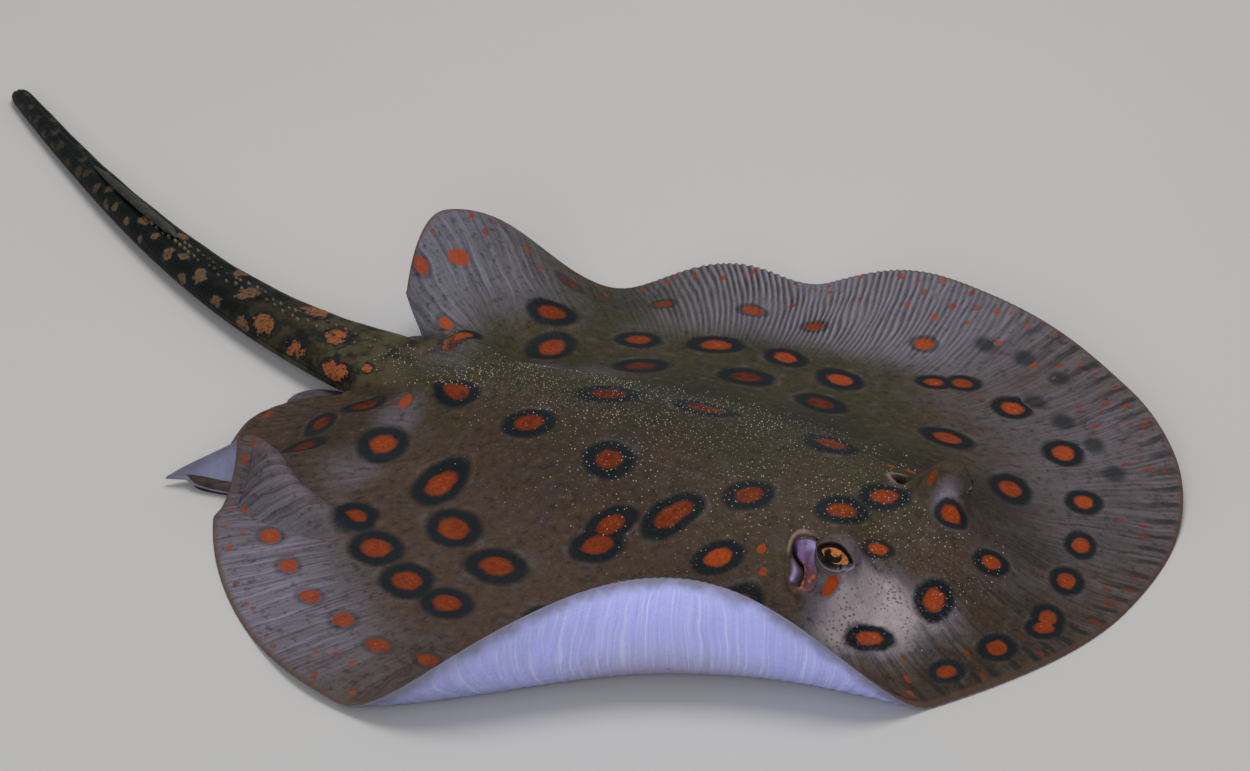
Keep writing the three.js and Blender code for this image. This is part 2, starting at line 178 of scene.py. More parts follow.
def roll_strength(angle):
    away = reach_of(turn(angle - ROLL.at), ROLL.below, ROLL.above)
    return np.clip(1 - np.clip(away, 0, None) ** ROLL.fade, 0, 1)


def bend_at(angle, fraction):
    length = outline(angle)
    strength = roll_strength(angle)
    radius = ROLL.radius + ROLL.opening * (1 - strength)
    arc = np.radians(ROLL.bend) * strength * radius
    rolled = np.clip((fraction * length - (length - arc)) / radius, 0, None)
    bend = np.where(strength > 0, rolled, 0)
    for at, below, above, degrees, start, end in LIFTS:
        share = hump(reach_of(turn(angle - at), below, above))
        bend = bend + np.radians(degrees) * share * ramp((fraction - start) / (end - start))
    return bend


def underside(angle, row, seated=True):
    """Places of the sheet's underside on lines (angle) by rows (row), with row 0 in the middle."""
    length = outline(angle)
    middle_angle = 0.5 * (angle[:, 1:] + angle[:, :-1])
    middle_row = np.broadcast_to(0.5 * (row[:, 1:] + row[:, :-1]), middle_angle.shape)
    step = np.diff(row * length, axis=1)
    bend = bend_at(middle_angle, middle_row)
    start = np.zeros((len(angle), 1))
    out = np.concatenate([start, np.cumsum(np.cos(bend) * step, axis=1)], axis=1)
    up = np.concatenate([start, np.cumsum(np.sin(bend) * step, axis=1)], axis=1)

    strength = ramp((row - FOLD.inner) / (FOLD.outer - FOLD.inner))
    crest = FOLD.at + FOLD.slant * np.clip(FOLD.slant_from - row, 0, None)
    past = turn(angle - crest)
    rise = 1 - np.where(past >= 0, ramp(past / FOLD.near), ramp(-past / FOLD.far))
    steep = np.minimum(-past, FOLD.far)
    over = FOLD.overhang * ramp(steep / FOLD.far)
    sweep = (steep + over) * (1 - ramp((-past - FOLD.far) / FOLD.recover))
    heading = np.radians(angle + np.where(past < 0, sweep, 0) * strength)
    up = up + FOLD.height * strength * rise

    seat = PELVIC_SEAT
    from_tail = np.abs(turn(angle - 180))
    share = 1 - ramp((from_tail - seat.full) / seat.fade)
    share = share * ramp((from_tail - seat.beside) / seat.slope)
    seat_rise = seat.height * share * ramp((row - seat.inner) / (seat.outer - seat.inner))
    up = up + seat_rise * seated
    return stacked(out * np.cos(heading), out * np.sin(heading), up)


def thickness(row, x, y):
    wing = WING * (1 - row ** WING_POWER)
    across = np.exp(-((np.abs(y) / along(TRUNK_WIDTH, x)) ** TRUNK_EDGE))
    depth = RIM + wing + along(TRUNK_HEIGHT, x) * across
    dip = hump((x - BROW_DIP.x) / BROW_DIP.reach) * hump(y / BROW_DIP.width)
    mound = np.hypot(
        (x - EYE_MOUND.x) / EYE_MOUND.length,
        (np.abs(y) - EYE_MOUND.y) / EYE_MOUND.width,
    )
    return depth - BROW_DIP.depth * dip + EYE_MOUND.height * hump(mound)


# ---------------------------------------------------------------- grid of the skin

LINES, ROWS = 1392, 232
RIM_ROUND, RIM_LEAST, RIM_SWELL = 0.012, 0.45, 0.55


def line_density(angle):
    """Lines lie closer together over the eyes, the pleats, the fold and the tail's root."""
    dense = 1.0 + 2.2 * hump((np.abs(angle) - 22) / 13)
    dense = dense + 1.5 * hump((angle - 110) / 36)
    dense = dense + 0.8 * hump(turn(angle + 147) / 20)
    return dense + 0.4 * hump(turn(angle - 180) / 14)


def row_density(row):
    """Rows lie closer together round the eyes and spiracles, and towards the rim."""
    head = 0.9 * hump((row - 0.58) / 0.3) + 1.2 * hump((row - 0.57) / 0.12)
    return 0.5 + head + 0.5 * ramp((row - 0.6) / 0.3)


def lean_of(row):
    return FOLD.slant * np.clip(FOLD.slant_from - np.maximum(row, FOLD.inner), 0, None)


def tail_path():
    """The tail's middle line as distances and (x, y) places."""
    distance = np.linspace(0, TAIL.length, 600)
    midway = 0.5 * (distance[1:] + distance[:-1])
    swing = 1 - np.exp(-np.clip(midway - TAIL.straight, 0, None) / TAIL.over)
    heading = np.radians(TAIL.heading + TAIL.swing * swing)
    steps = stacked(-np.cos(heading), np.sin(heading)) * distance[1]
    places = np.concatenate([[(0, 0)], np.cumsum(steps, axis=0)]) + TAIL.root
    return distance, places


TAIL_DISTANCE, TAIL_PLACES = tail_path()


def tail_middle(share):
    distance = np.asarray(share) * TAIL.length
    x = np.interp(distance, TAIL_DISTANCE, TAIL_PLACES[:, 0])
    y = np.interp(distance, TAIL_DISTANCE, TAIL_PLACES[:, 1])
    return stacked(x, y)


def tail_side(share):
    small = 0.002
    ahead, behind = (tail_middle(np.clip(share + step, 0, 1)) for step in (small, -small))
    forward = unit(ahead - behind)
    return stacked(-forward[..., 1], forward[..., 0])


def tail_section(share, sideways):
    """Lowest and highest point of the tail at a share of its length, sideways from -1 to 1."""
    height = along(TAIL_HEIGHTS, share)
    arch = 0.5 * np.sqrt(np.clip(1 - sideways ** 2, 0, 1)) / TAIL_FLAT
    return height * np.clip(0.5 - arch, 0, 1), height * np.clip(0.5 + arch, 0, 1)


# ---------------------------------------------------------------- relief of the skin

PLEATS = Sizes(around=400, at=113, below=40, above=30, inner=0.64, full=0.82, height=0.62, bow=34)
GAZE = (0.32, 0.80, 0.50)
LIDS = Sizes(
    root=(-1.2, -6.0, -7.5), wrap=7.85, blend=2.6, reach=14, wide=52, tall=31, tilt=-15,
    rim=0.45, inside=3.2, crease=0.9, near=24, near_fade=6, evened=0.8,
    # In shares of the opening, 1 at its edge: middle and half width, or where and over how much.
    rim_at=(1.14, 0.28), fold_at=(1.62, 0.2), outer_fold_at=(2.15, 0.22), crease_at=(1.62, 0.24),
    lower_at=(1.37, 0.3), inside_from=1.04, inside_over=0.26, socket_from=1.18, socket_over=0.14,
    # In degrees above the gaze: the folds fade out from here down to here.
    below_from=14, below_over=26,
)
# Behind the eye, measured across and up the same view as the eye's opening.
SPIRACLE = Sizes(
    across=-12.6, up=-4.9, half_width=5.6, half_height=8.8, lean=0.25, sink=1.9, slope=1.6,
    slit=4.5, bulge=1.3, lip=0.45, depth=16,
)
MOUTH = Sizes(x=92, half_width=17, lip=2.2, curve=5.0, depth=2.6)
NOSTRILS = Sizes(x=103, y=11, length=6, width=2.8, depth=2.0, turned=35)
GILLS = Sizes(
    count=5, front=66, spacing=11.5, y=41, inwards=2.4, length=7, width=1.6, depth=1.8,
    turned=72, turning=5,
)
BELLY_RAYS = Sizes(count=230, swing=1.2, depth=0.16, inside=0.66, over=0.14)
VENT = Sizes(x=-96, length=8, width=2.4, depth=1.6)


def wobble(x, y, seed, size, octaves=3):
    """Gentle unevenness between about -1 and 1, from a few crossed waves."""
    dice = np.random.default_rng(seed)
    total = np.zeros(np.broadcast(x, y).shape)
    for octave in range(octaves):
        for _ in range(5):
            heading = dice.uniform(0, 2 * math.pi)
            phase = dice.uniform(0, 2 * math.pi)
            pace = 2 * math.pi / (size * dice.uniform(0.7, 1.4)) * 2 ** octave
            wave = np.sin((x * math.cos(heading) + y * math.sin(heading)) * pace + phase)
            total = total + wave * 0.6 ** octave
    return total / 5


def pleat_mask(angle, row):
    pleats = PLEATS
    across = ramp((row - pleats.inner) / (pleats.full - pleats.inner))
    beside = reach_of(turn(angle - pleats.at), pleats.below, pleats.above)
    return across * hump(beside) * np.clip(0.75 + 0.5 * wobble(angle, row * 60, 6, 24), 0.2, 1)


def pleat_phase(angle, row):
    """One turn per pleat; the pleats bend towards the tail as they run out, unevenly spaced."""
    bow = -PLEATS.bow * np.clip(row - 0.72, 0, None) ** 2
    uneven = 0.55 * wobble(angle * 3, row * 60, 7, 36)
    return 2 * math.pi * ((angle + bow) / 360 * PLEATS.around + uneven)


def oval(x, y, at_x, at_y, half_length, half_width, degrees):
    """Position in an oval's own axes, where its rim is at distance 1."""
    c, s = math.cos(math.radians(degrees)), math.sin(math.radians(degrees))
    dx, dy = x - at_x, y - at_y
    return (dx * c + dy * s) / half_length, (dy * c - dx * s) / half_width


def back_relief(angle, row, x, y):
    """How far the skin of the back stands off its plain shape."""
    relief = 0.35 * wobble(x, y, 3, 46) * (1 - ramp((row - 0.9) / 0.1))
    mask = pleat_mask(angle, row)
    wave = np.cos(pleat_phase(angle, row))
    relief = relief + PLEATS.height * mask * wave
    rays = np.sin(2 * math.pi * (angle + 2 * wobble(x, y, 8, 90)) / 360 * 250)
    uneven = 0.5 + 0.5 * wobble(x, y, 9, 34)
    relief = relief + 0.09 * rays * uneven * ramp((row - 0.62) / 0.2) * (1 - mask)
    return relief


def eye_centre(side):
    return np.array([EYE.x, EYE.y * side, EYE.z])


def spiracle_place(points, side):
    """Across (-1 at the rear lip, 1 by the eye) and up (-1 to 1) the spiracle behind one eye,
    and how far out from its middle, with 1 at its rounded oblong rim."""
    s = SPIRACLE
    gaze, across, upwards = eye_axes(side, 0)
    offset = points - eye_centre(side)
    c = offset @ across - s.across
    w = offset @ upwards - s.up
    u, v = (c + s.lean * w) / s.half_width, w / s.half_height
    level = np.abs(offset @ gaze + 2) < s.depth
    far = 9.0
    u, v = np.where(level, u, far), np.where(level, v, far)
    return u, v, (np.abs(u) ** 3 + np.abs(v) ** 3) ** (1 / 3)


def slit_of(u, v):
    """The dark opening along the rear of the spiracle, bowed forwards below its middle."""
    return u + 0.84 - 0.36 * hump((v + 0.3) / 0.8)


def spiracle_relief(points):
    s = SPIRACLE
    relief = np.zeros(points.shape[:-1])
    for side in (-1, 1):
        u, v, away = spiracle_place(points, side)
        hollow = ramp((1.1 - away) / 0.2)
        from_slit = slit_of(u, v)
        valve = s.sink + s.slope * np.clip(0.5 - 0.5 * u, 0, 1)
        valve = valve - s.bulge * hump((u - 0.35) / 0.75) * hump((v - 0.25) / 1.1)
        slit = s.slit * hump(from_slit / 0.17) * np.sqrt(hump(v / 1.1))
        behind = ramp(-from_slit / 0.12)
        relief = relief - hollow * (valve * (1 - 0.75 * behind) + slit)
        relief = relief + s.lip * hump((away - 1.2) / 0.2) * (0.3 + 0.7 * ramp((0.4 - u) / 0.8))
    return relief


def spiracle_masks(points):
    names = ("valve", "valve_up", "slit", "lip", "inner_lip")
    masks = {name: np.zeros(points.shape[:-1]) for name in names}
    for side in (-1, 1):
        u, v, away = spiracle_place(points, side)
        inside = ramp((1.08 - away) / 0.1)
        from_slit = slit_of(u, v)
        slit = np.sqrt(hump(from_slit / 0.16)) * np.sqrt(hump(v / 1.1))
        edge = hump((away - 1.04) / 0.09) * ramp((u - 0.1) / 0.5)
        masks["valve"] += inside * ramp(from_slit / 0.1 + 0.8)
        masks["valve_up"] += inside * np.clip(0.5 + 0.5 * v + 0.12 * u, 0, 1)
        # The slit is painted near-black, and so is a thin line inside the front of the rim: painted
        # shadow.
        masks["slit"] += np.maximum(slit * inside, 0.75 * edge)
        masks["lip"] += hump((away - 1.17) / 0.14) * ramp((0.9 - u) / 1.2) * ramp((v - 0.1) / 0.5)
        masks["inner_lip"] += inside * hump((from_slit + 0.25) / 0.22) * ramp((0.2 - v) / 0.5)
    return masks


EVENING_ROUNDS = 120


def even_out(points, centre, radius, movable):
    """Spreads the movable points of a ball-shaped part of a grid more evenly over the ball."""
    lines, rows = np.where(movable)
    box = (slice(lines.min() - 2, lines.max() + 3), slice(rows.min() - 2, rows.max() + 3))
    part = points[box].copy()
    free = movable[box][1:-1, 1:-1, None]
    for _ in range(EVENING_ROUNDS):
        mean = (part[2:, 1:-1] + part[:-2, 1:-1] + part[1:-1, 2:] + part[1:-1, :-2]) / 4
        outward = np.linalg.norm(part[1:-1, 1:-1] - centre, axis=-1, keepdims=True)
        mean = centre + unit(mean - centre) * np.maximum(outward, radius)
        part[1:-1, 1:-1] = np.where(free, mean, part[1:-1, 1:-1])
    points = points.copy()
    points[box] = part
    return points


def wrap_eyes(points):
    """Draws the skin over each eyeball as lids, and leaves an opening with a rim and creases."""
    points = points.copy()
    shape = points.shape[:-1]
    masks = {name: np.zeros(shape) for name in ("lid", "crease", "socket")}
    for side in (-1, 1):
        centre = eye_centre(side)
        root = centre + np.array(LIDS.root) * (1, side, 1)
        away = points - root
        distance = np.linalg.norm(away, axis=-1)
        towards = unit(away)
        ahead = towards @ (centre - root)
        room = LIDS.wrap ** 2 - (np.sum((centre - root) ** 2) - ahead ** 2)
        dome = np.where((room > 0) & (ahead > 0), ahead + np.sqrt(np.clip(room, 0, None)), 0)
        close = distance < LIDS.near
        over = smooth_max(distance, dome, LIDS.blend)
        fade = ramp((LIDS.near - distance) / LIDS.near_fade)
        wrapped = root + towards * (distance + (over - distance) * fade)[..., None]
        points = np.where(close[..., None], wrapped, points)
        points = even_out(points, centre, LIDS.wrap, close & (dome > distance + LIDS.evened))

        offset = points - centre
        distance = np.linalg.norm(offset, axis=-1)
        towards = unit(offset)
        gaze, across, upwards = eye_axes(side)
        flat = towards @ gaze
        a = np.degrees(np.arctan2(towards @ across, flat))
        b = np.degrees(np.arctan2(towards @ upwards, flat))
        opening = np.hypot(a / LIDS.wide, b / LIDS.tall)
        outward = distance < LIDS.reach
        below = ramp((LIDS.below_from - b) / LIDS.below_over)
        rim = LIDS.rim * ridge(opening, *LIDS.rim_at)
        folds = ridge(opening, *LIDS.fold_at) + 0.5 * ridge(opening, *LIDS.outer_fold_at)
        crease = ridge(opening, *LIDS.crease_at) * below
        radius = distance + np.where(outward, rim - LIDS.crease * folds * below, 0)
        inside = ramp((LIDS.inside_from - opening) / LIDS.inside_over)
        # The socket marks the lid's edge round the opening; the skin there is painted near-black as
        # shadow.
        socket = ramp((LIDS.socket_from - opening) / LIDS.socket_over)
        radius = np.where(outward, radius + (LIDS.inside - radius) * inside, distance)
        points = centre + towards * radius[..., None]
        lower = ridge(opening, *LIDS.lower_at) * below
        for name, mask in (("lid", lower), ("crease", crease), ("socket", socket)):
            masks[name] = np.maximum(masks[name], mask * outward)
    return points, masks


def eye_axes(side, tilt=None):
    """The eye's gaze, the direction across the opening and the one up it."""
    gaze = unit(np.array([GAZE[0], GAZE[1] * side, GAZE[2]]))
    level = unit(np.cross([0, 0, 1], gaze)) * -side
    upwards = np.cross(gaze, level) * -side
    upwards = upwards if upwards[2] > 0 else -upwards
    tilt = math.radians(LIDS.tilt if tilt is None else tilt)
    across = level * math.cos(tilt) + upwards * math.sin(tilt)
    return gaze, across, upwards * math.cos(tilt) - level * math.sin(tilt)


def belly_relief(angle, row, x, y):
    """Mouth, nostrils, gill slits, vent and the fine rays of the underside; plus is inwards."""
    bow = x - MOUTH.x + MOUTH.curve * (y / MOUTH.half_width) ** 2
    depth = MOUTH.depth * hump(bow / MOUTH.lip) * hump(y / MOUTH.half_width)
    n = NOSTRILS
    u, v = oval(x, np.abs(y), n.x, n.y, n.length, n.width, n.turned)
    depth = depth + n.depth * hump(np.hypot(u, v))
    g = GILLS
    for i in range(g.count):
        u, v = oval(
            x, np.abs(y), g.front - i * g.spacing, g.y - i * g.inwards,
            g.length, g.width, g.turned + g.turning * i,
        )
        depth = depth + g.depth * hump(np.hypot(u, v))
    u, v = oval(x, y, VENT.x, 0, VENT.length, VENT.width, 0)
    depth = depth + VENT.depth * hump(np.hypot(u, v))
    rays = BELLY_RAYS
    lines = np.cos(2 * math.pi * (angle + rays.swing * wobble(x, y, 5, 70)) / 360 * rays.count)
    return depth + rays.depth * lines * ramp((row - rays.inside) / rays.over)


# ---------------------------------------------------------------- markings

# Eyespots lie in rows. On the trunk and head a row runs straight between two places (x, y in
# flat mm); on the fins it is an arc from one (angle, share of the way out) to another. Then
# come how many, length and width in mm, brightness at both ends and how dark the ring is.
BODY_ROWS = {
    "right of the backbone": ((-103, -14), (-16, -27), 3, 23, 15, (.35, .3), 1),
    "left of the backbone": ((-46, 10), (-10, 22), 2, 27, 17, (.12, .15), 1),
    # Dim as painted shade: these lie in the shade of the trunk.
    "left shoulder, on the crest": ((42, 30), (56, 42), 1, 19, 23, (.25, .25), 1),
    "right shoulder": ((44, -21), (6, -51), 3, 18, 14, (.3, .38), 1),
    "behind the right spiracle": ((51, -46), (51, -46), 1, 17, 12, (.85, .85), 1),
    "nape": ((75, -6), (80, 12), 2, 18, 13, (.45, .5), 1),
    "before the right eye": ((94, -11), (94, -11), 1, 13, 9, (.85, .85), .8),
    "before the left eye": ((102, 24), (109, 30), 1, 12, 7, (.85, .85), .9),
    "cheek": ((114, -41), (128, -29), 1, 18, 9, (.75, .75), 1),
    "brow": ((120, -11), (119, 24), 2, 17, 11.5, (.7, .65), 1),
    "snout": ((140, -30), (148, 16), 3, 14, 9.5, (.5, .55), 1),
    "behind the right spiracle, small": ((64, -37), (69, -44), 2, 4.5, 4, (.9, .9), 0),
    "behind the left spiracle, small": ((64, 37), (69, 44), 2, 4.5, 4, (.9, .9), 0),
    "below the right eye": ((96, -41), (106, -32), 1, 7, 3.6, (1.3, 1.3), 0),
    "below the left eye": ((96, 41), (96, 41), 1, 5, 6, (1.3, 1.3), 0),
    "on the left eye mound": ((90, 27), (90, 27), 1, 6, 4.5, (.5, .5), .1),
    "beside the tail": ((-132, 21), (-132, 21), 1, 17, 9, (.75, .75), .9),
}
FIN_ARCS = {
    "left inner": ((91, .44), (140, .55), 3, 22, 15, (.15, .1), 1),
    "left middle": ((96, .58), (153, .74), 5, 20, 15, (.8, .4), 1),
    "left rear inner": ((156, .63), (156, .63), 1, 21, 15, (.45, .45), 1),
    "left shoulder": ((83, .7), (79, .75), 2, 15, 11, (.6, .5), 1),
    "left front outer": ((69, .77), (40, .8), 3, 17, 14.5, (.75, .8), 1),
    "left front inner": ((63, .57), (42, .65), 2, 23, 15.5, (.55, .6), 1),
    "left front rim": ((29, .82), (8, .9), 3, 17, 11, (.7, .55), 1),
    "left edge spots": ((109, .79), (91, .81), 2, 12, 9, (.6, .95), .6),
    "left edge, rear": ((120, .83), (147, .9), 3, 12, 8, (.7, .15), .6),
    "rear lobe": ((163, .89), (163, .89), 1, 12, 10, (1, 1), .1),
    "rear lobe by the tail": ((171, .85), (168, .97), 2, 13, 6, (1, .8), .4),
    "right inner": ((-143, .54), (-103, .49), 3, 26, 18.5, (.5, .42), 1),
    "right middle": ((-134, .71), (-99, .63), 4, 22, 17, (.5, .4), 1),
    "right rear": ((-157, .68), (-157, .68), 1, 21, 17, (.55, .55), 1),
    "right shoulder, inner": ((-84, .35), (-58, .3), 2, 21, 16, (.38, .34), 1),
    "right outer": ((-132, .88), (-90, .8), 6, 13, 9.5, (.85, .5), .4),
    "right corner": ((-154, .84), (-167, .82), 3, 17, 9, (.1, .15), .9),
    "right corner by the tail": ((-168, .73), (-168, .73), 1, 9, 7, (.95, .95), .2),
    "under the roll, inner": ((-80, .57), (-40, .58), 4, 20, 16, (.45, .5), 1),
    "under the roll, outer": ((-84, .76), (-32, .78), 5, 16, 12, (.5, .5), .8),
}
DARK_ARCS = {
    "left shoulder, outer": ((83, .87), (71, .9), 3, 11, 9),
    "left front, outer": ((69, .82), (47, .87), 4, 12, 9),
}
# How likely a dot is at each distance inwards from the rim, every few degrees round it.
RIM_DOTS = Sizes(
    first=-172.0, last=168, step=3.6, inwards={5: .8, 12: .5, 20: .3}, size=(2.6, 4.8),
    bright=(.45, .85), gap=2, jitter=2, front=20, front_reach=75,
)
# Lengths, widths and brightness run from the tip's to the root's.
TAIL_PATCHES = Sizes(
    first=10, spacing=(11, 15), places=(-.95, -.25, -.8, .3, -.6), jitter=.12,
    length=(3, 13), width=(2, 8.5), bright=(.36, 1), fading=130, orange_to=34, bare_tip=12,
    size=(.85, 1.15), tone=(.8, 1.1), turned=15,
)


# How far an eyespot is off its row's exact place, in mm, its size and its turn in degrees.
SPOT = Sizes(off=1.2, size=(.92, 1.08), turned=14)


def flat_place(angle, row):
    far = row * float(outline(np.array(float(angle))))
    return far * math.cos(math.radians(angle)), far * math.sin(math.radians(angle))


def row_of_spots(dice, start, end, count, length, width, bright, ring, place):
    """Evenly spaced spots between two places, each a little off its exact place, size and turn.

    A spot lies along its row; where the start is the end too, it lies across the line outwards.
    """
    spots = []
    for i in range(count):
        t = i / max(count - 1, 1)
        at, beyond = (
            place(between(start[0], end[0], share), between(start[1], end[1], share))
            for share in (t, t + .01)
        )
        heading = math.degrees(math.atan2(beyond[1] - at[1], beyond[0] - at[0]))
        if start == end:
            heading = math.degrees(math.atan2(at[1], at[0])) + 90
        x, y = (value + dice.uniform(-SPOT.off, SPOT.off) for value in at)
        size = dice.uniform(*SPOT.size)
        heading += dice.uniform(-SPOT.turned, SPOT.turned)
        spots.append((x, y, length * size, width * size, heading, between(*bright, t), ring))
    return spots


# In place of how dark the ring is, these mark a blotch and a patch of the tail.
BLOTCH_RING, TAIL_RING = -1, -2


def named_spots():
    dice = np.random.default_rng(SEED)
    spots = []
    for row in BODY_ROWS.values():
        spots += row_of_spots(dice, *row, place=lambda x, y: (x, y))
    for arc in FIN_ARCS.values():
        spots += row_of_spots(dice, *arc, place=flat_place)
    return spots


def blotches():
    """Dark blotches: eyespots with no orange."""
    dice = np.random.default_rng(SEED + 1)
    spots = []
    for arc in DARK_ARCS.values():
        spots += row_of_spots(dice, *arc, bright=(0, 0), ring=BLOTCH_RING, place=flat_place)
    return spots


def rim_dots():
    """Small orange dots all along the edge, larger, flatter and duller at the front."""
    dice = np.random.default_rng(SEED + 2)
    dots = []
    angle = RIM_DOTS.first
    jitter = RIM_DOTS.jitter
    while angle < RIM_DOTS.last:
        for inwards, chance in RIM_DOTS.inwards.items():
            if dice.random() < chance:
                at = angle + dice.uniform(-jitter, jitter)
                far = float(outline(np.array(at)))
                x, y = flat_place(at, 1 - (inwards + dice.uniform(-jitter, jitter)) / far)
                size = dice.uniform(*RIM_DOTS.size)
                front = float(ridge(at, RIM_DOTS.front, RIM_DOTS.front_reach))
                tone = dice.uniform(*RIM_DOTS.bright) * (1 - .55 * front)
                dots.append((x, y, size * (1 + .5 * front), size * (.8 - .2 * front), at, tone, 0))
        angle += RIM_DOTS.step
    return dots


def tail_patches(length, half_width):
    """Patches down the tail, from large and orange by the body to small tan ones by the tip."""
    dice = np.random.default_rng(SEED + 3)
    t = TAIL_PATCHES
    patches = []
    distance = t.first
    while distance < length - t.bare_tip:
        left = math.exp(-distance / t.fading)
        tone = between(*t.bright, math.exp(-distance / t.orange_to))
        sideways = t.places[len(patches) % len(t.places)] + dice.uniform(-1, 1) * t.jitter
        across = sideways * half_width(distance)
        size = dice.uniform(*t.size)
        patches.append((
            distance, -across, between(*t.length, left) * size, between(*t.width, left) * size,
            dice.uniform(-t.turned, t.turned), tone * dice.uniform(*t.tone), TAIL_RING,
        ))
        distance += dice.uniform(*t.spacing) * (.45 + .55 * left)
    return patches


def all_spots():
    named = named_spots()
    clear = []
    for dot in rim_dots():
        gaps = [math.hypot(dot[0] - spot[0], dot[1] - spot[1]) - 0.6 * spot[2] for spot in named]
        if min(gaps) > RIM_DOTS.gap:
            clear.append(dot)
    return named + clear + blotches()


NO_SPOT = 3.0


def spot_fields(x, y, spots):
    """Nearest eyespot at each place: distance (1 at its edge), brightness and ring."""
    far = np.full(x.shape, NO_SPOT)
    field = dict(spot=far, spot_tone=np.zeros(x.shape), spot_ring=np.zeros(x.shape))
    for at_x, at_y, length, width, degrees, bright, ring in spots:
        near = (np.abs(x - at_x) < length * 1.2) & (np.abs(y - at_y) < length * 1.2)
        u, v = oval(x[near], y[near], at_x, at_y, length / 2, width / 2, degrees)
        away = np.hypot(u, v)
        closer = away < field["spot"][near]
        for name, value in (("spot", away), ("spot_tone", bright), ("spot_ring", ring)):
            kept = field[name][near]
            field[name][near] = np.where(closer, value, kept)
    return field


def wash(x, y, places):
    """Soft patches (x, y, reach, strength), the strongest of which counts at each place."""
    total = np.zeros(x.shape)
    for at_x, at_y, reach, strength in places:
        total = np.maximum(total, strength * hump(np.hypot(x - at_x, y - at_y) / reach))
    return total


# (angle, reach in degrees, strength, from this row outwards, over): the raised left edge, the
# left rear lobe, the right rear and the left front.
WING_WASHES = [
    (104, 44, .85, .64, .16), (163, 22, .75, .66, .2), (-120, 36, .85, .66, .24),
    (52, 58, .36, .5, .3),
]


def wing_paleness(angle, row):
    """Lilac-grey of the fins, the strongest of which counts at each place."""
    parts = [
        strength * hump(turn(angle - at) / reach) * ramp((row - start) / over)
        for at, reach, strength, start, over in WING_WASHES
    ]
    return np.clip(np.maximum.reduce(parts), 0, 1)


# Pale on the right cheek, before the left eye and on both sides of the tail's root.
PALE_WASHES = [
    (112, -30, 25, 1), (103, -42, 20, .95), (122, -16, 18, .7), (99, 24, 8, .9), (-118, -32, 14, .5),
    (-96, 30, 18, .45), (-84, 44, 16, .4), (-110, -66, 20, .3),
]
# Dark along the backbone and on the snout; painted shade down the left side and in the fold's lee.
SHADE_AND_DARK_WASHES = [
    (-40, 42, 50, .8), (10, 52, 46, .8), (-90, 40, 36, .5), (60, 56, 36, .7), (92, 60, 36, .8),
    (118, 48, 26, .8), (-20, 0, 90, .45), (146, 10, 40, .5), (-130, -50, 34, .6), (130, 84, 30, .3),
    (-120, 108, 26, .6), (-60, 112, 24, .4), (140, -30, 26, .7),
]


# ---------------------------------------------------------------- building the skin

# Where the parts of the unwrap lie, in mm on a square of this side.
ATLAS = Sizes(
    side=760.0, back=(191.0, 191.0), belly=(569.0, 191.0), tail=400.0, tail_sole=60.0,
    fins=(700.0, 560.0), fin_gap=60, fin_sole=110.0,
)
TAIL_SHEET_END = -150.0
TAIL_JOIN = Sizes(middle=-178.5, half=7.5, fade=3.0, flank=15.0, near=30, furthest=0.25)
TAIL_RINGS = 330

# How the disc's back runs out onto the tail, going back from these places on the x axis.
TAIL_ONSET = Sizes(
    upright=-104, upright_over=30, rise=-102, rise_over=36, back_from=-100, smooth=-110,
    smooth_over=20, coloured=-122, coloured_over=26, blend=3,
    # Sideways, in half widths of the tail: how far each reaches, and over how much it fades.
    upright_to=1.9, upright_fade=0.7, flank_fade=0.35, smooth_to=1.6, coloured_to=1.2,
    coloured_fade=0.4,
)

# The head lies in front of this place on the x axis, inside this row.
HEAD = Sizes(from_x=40, within=0.85)

# How near the floor the back and the belly come, and the belly's relief off its plain shape.
LOWEST_BACK, LOWEST_BELLY, MOST_OUTWARDS = 0.08, 0.05, 0.2
NAMES = (
    "under reach spot spot_tone spot_ring pale dark pleat phase tail onto_tail opening"
    " lid crease socket valve valve_up slit lip inner_lip"
).split()


class Skin:
    """Points, faces, unwrap and named values of one mesh, gathered block by block."""

    def __init__(self):
        self.points, self.flat, self.unwrap = [], [], []
        self.values = {name: [] for name in NAMES}
        self.faces = {3: [], 4: []}
        self.corners = {3: [], 4: []}
        self.count = 0

    def block(self, points, flat, unwrap, **values):
        """Adds points of any grid shape, and returns their numbers in that shape."""
        shape = points.shape[:-1]
        numbers = self.count + np.arange(int(np.prod(shape))).reshape(shape)
        self.points.append(points.reshape(-1, 3))
        self.flat.append(flat.reshape(-1, 3))
        self.unwrap.append(unwrap.reshape(-1, 2))
        for name in NAMES:
            given = np.broadcast_to(values.get(name, 0.0), shape)
            self.values[name].append(given.reshape(-1))
        self.count += numbers.size
        return numbers

    def add_faces(self, corners, unwrap=None):
        corners = corners.reshape(-1, corners.shape[-1])
        if unwrap is None:
            unwrap = np.concatenate(self.unwrap)[corners]
        self.faces[corners.shape[-1]].append(corners)
        self.corners[corners.shape[-1]].append(unwrap.reshape(corners.shape + (2,)))


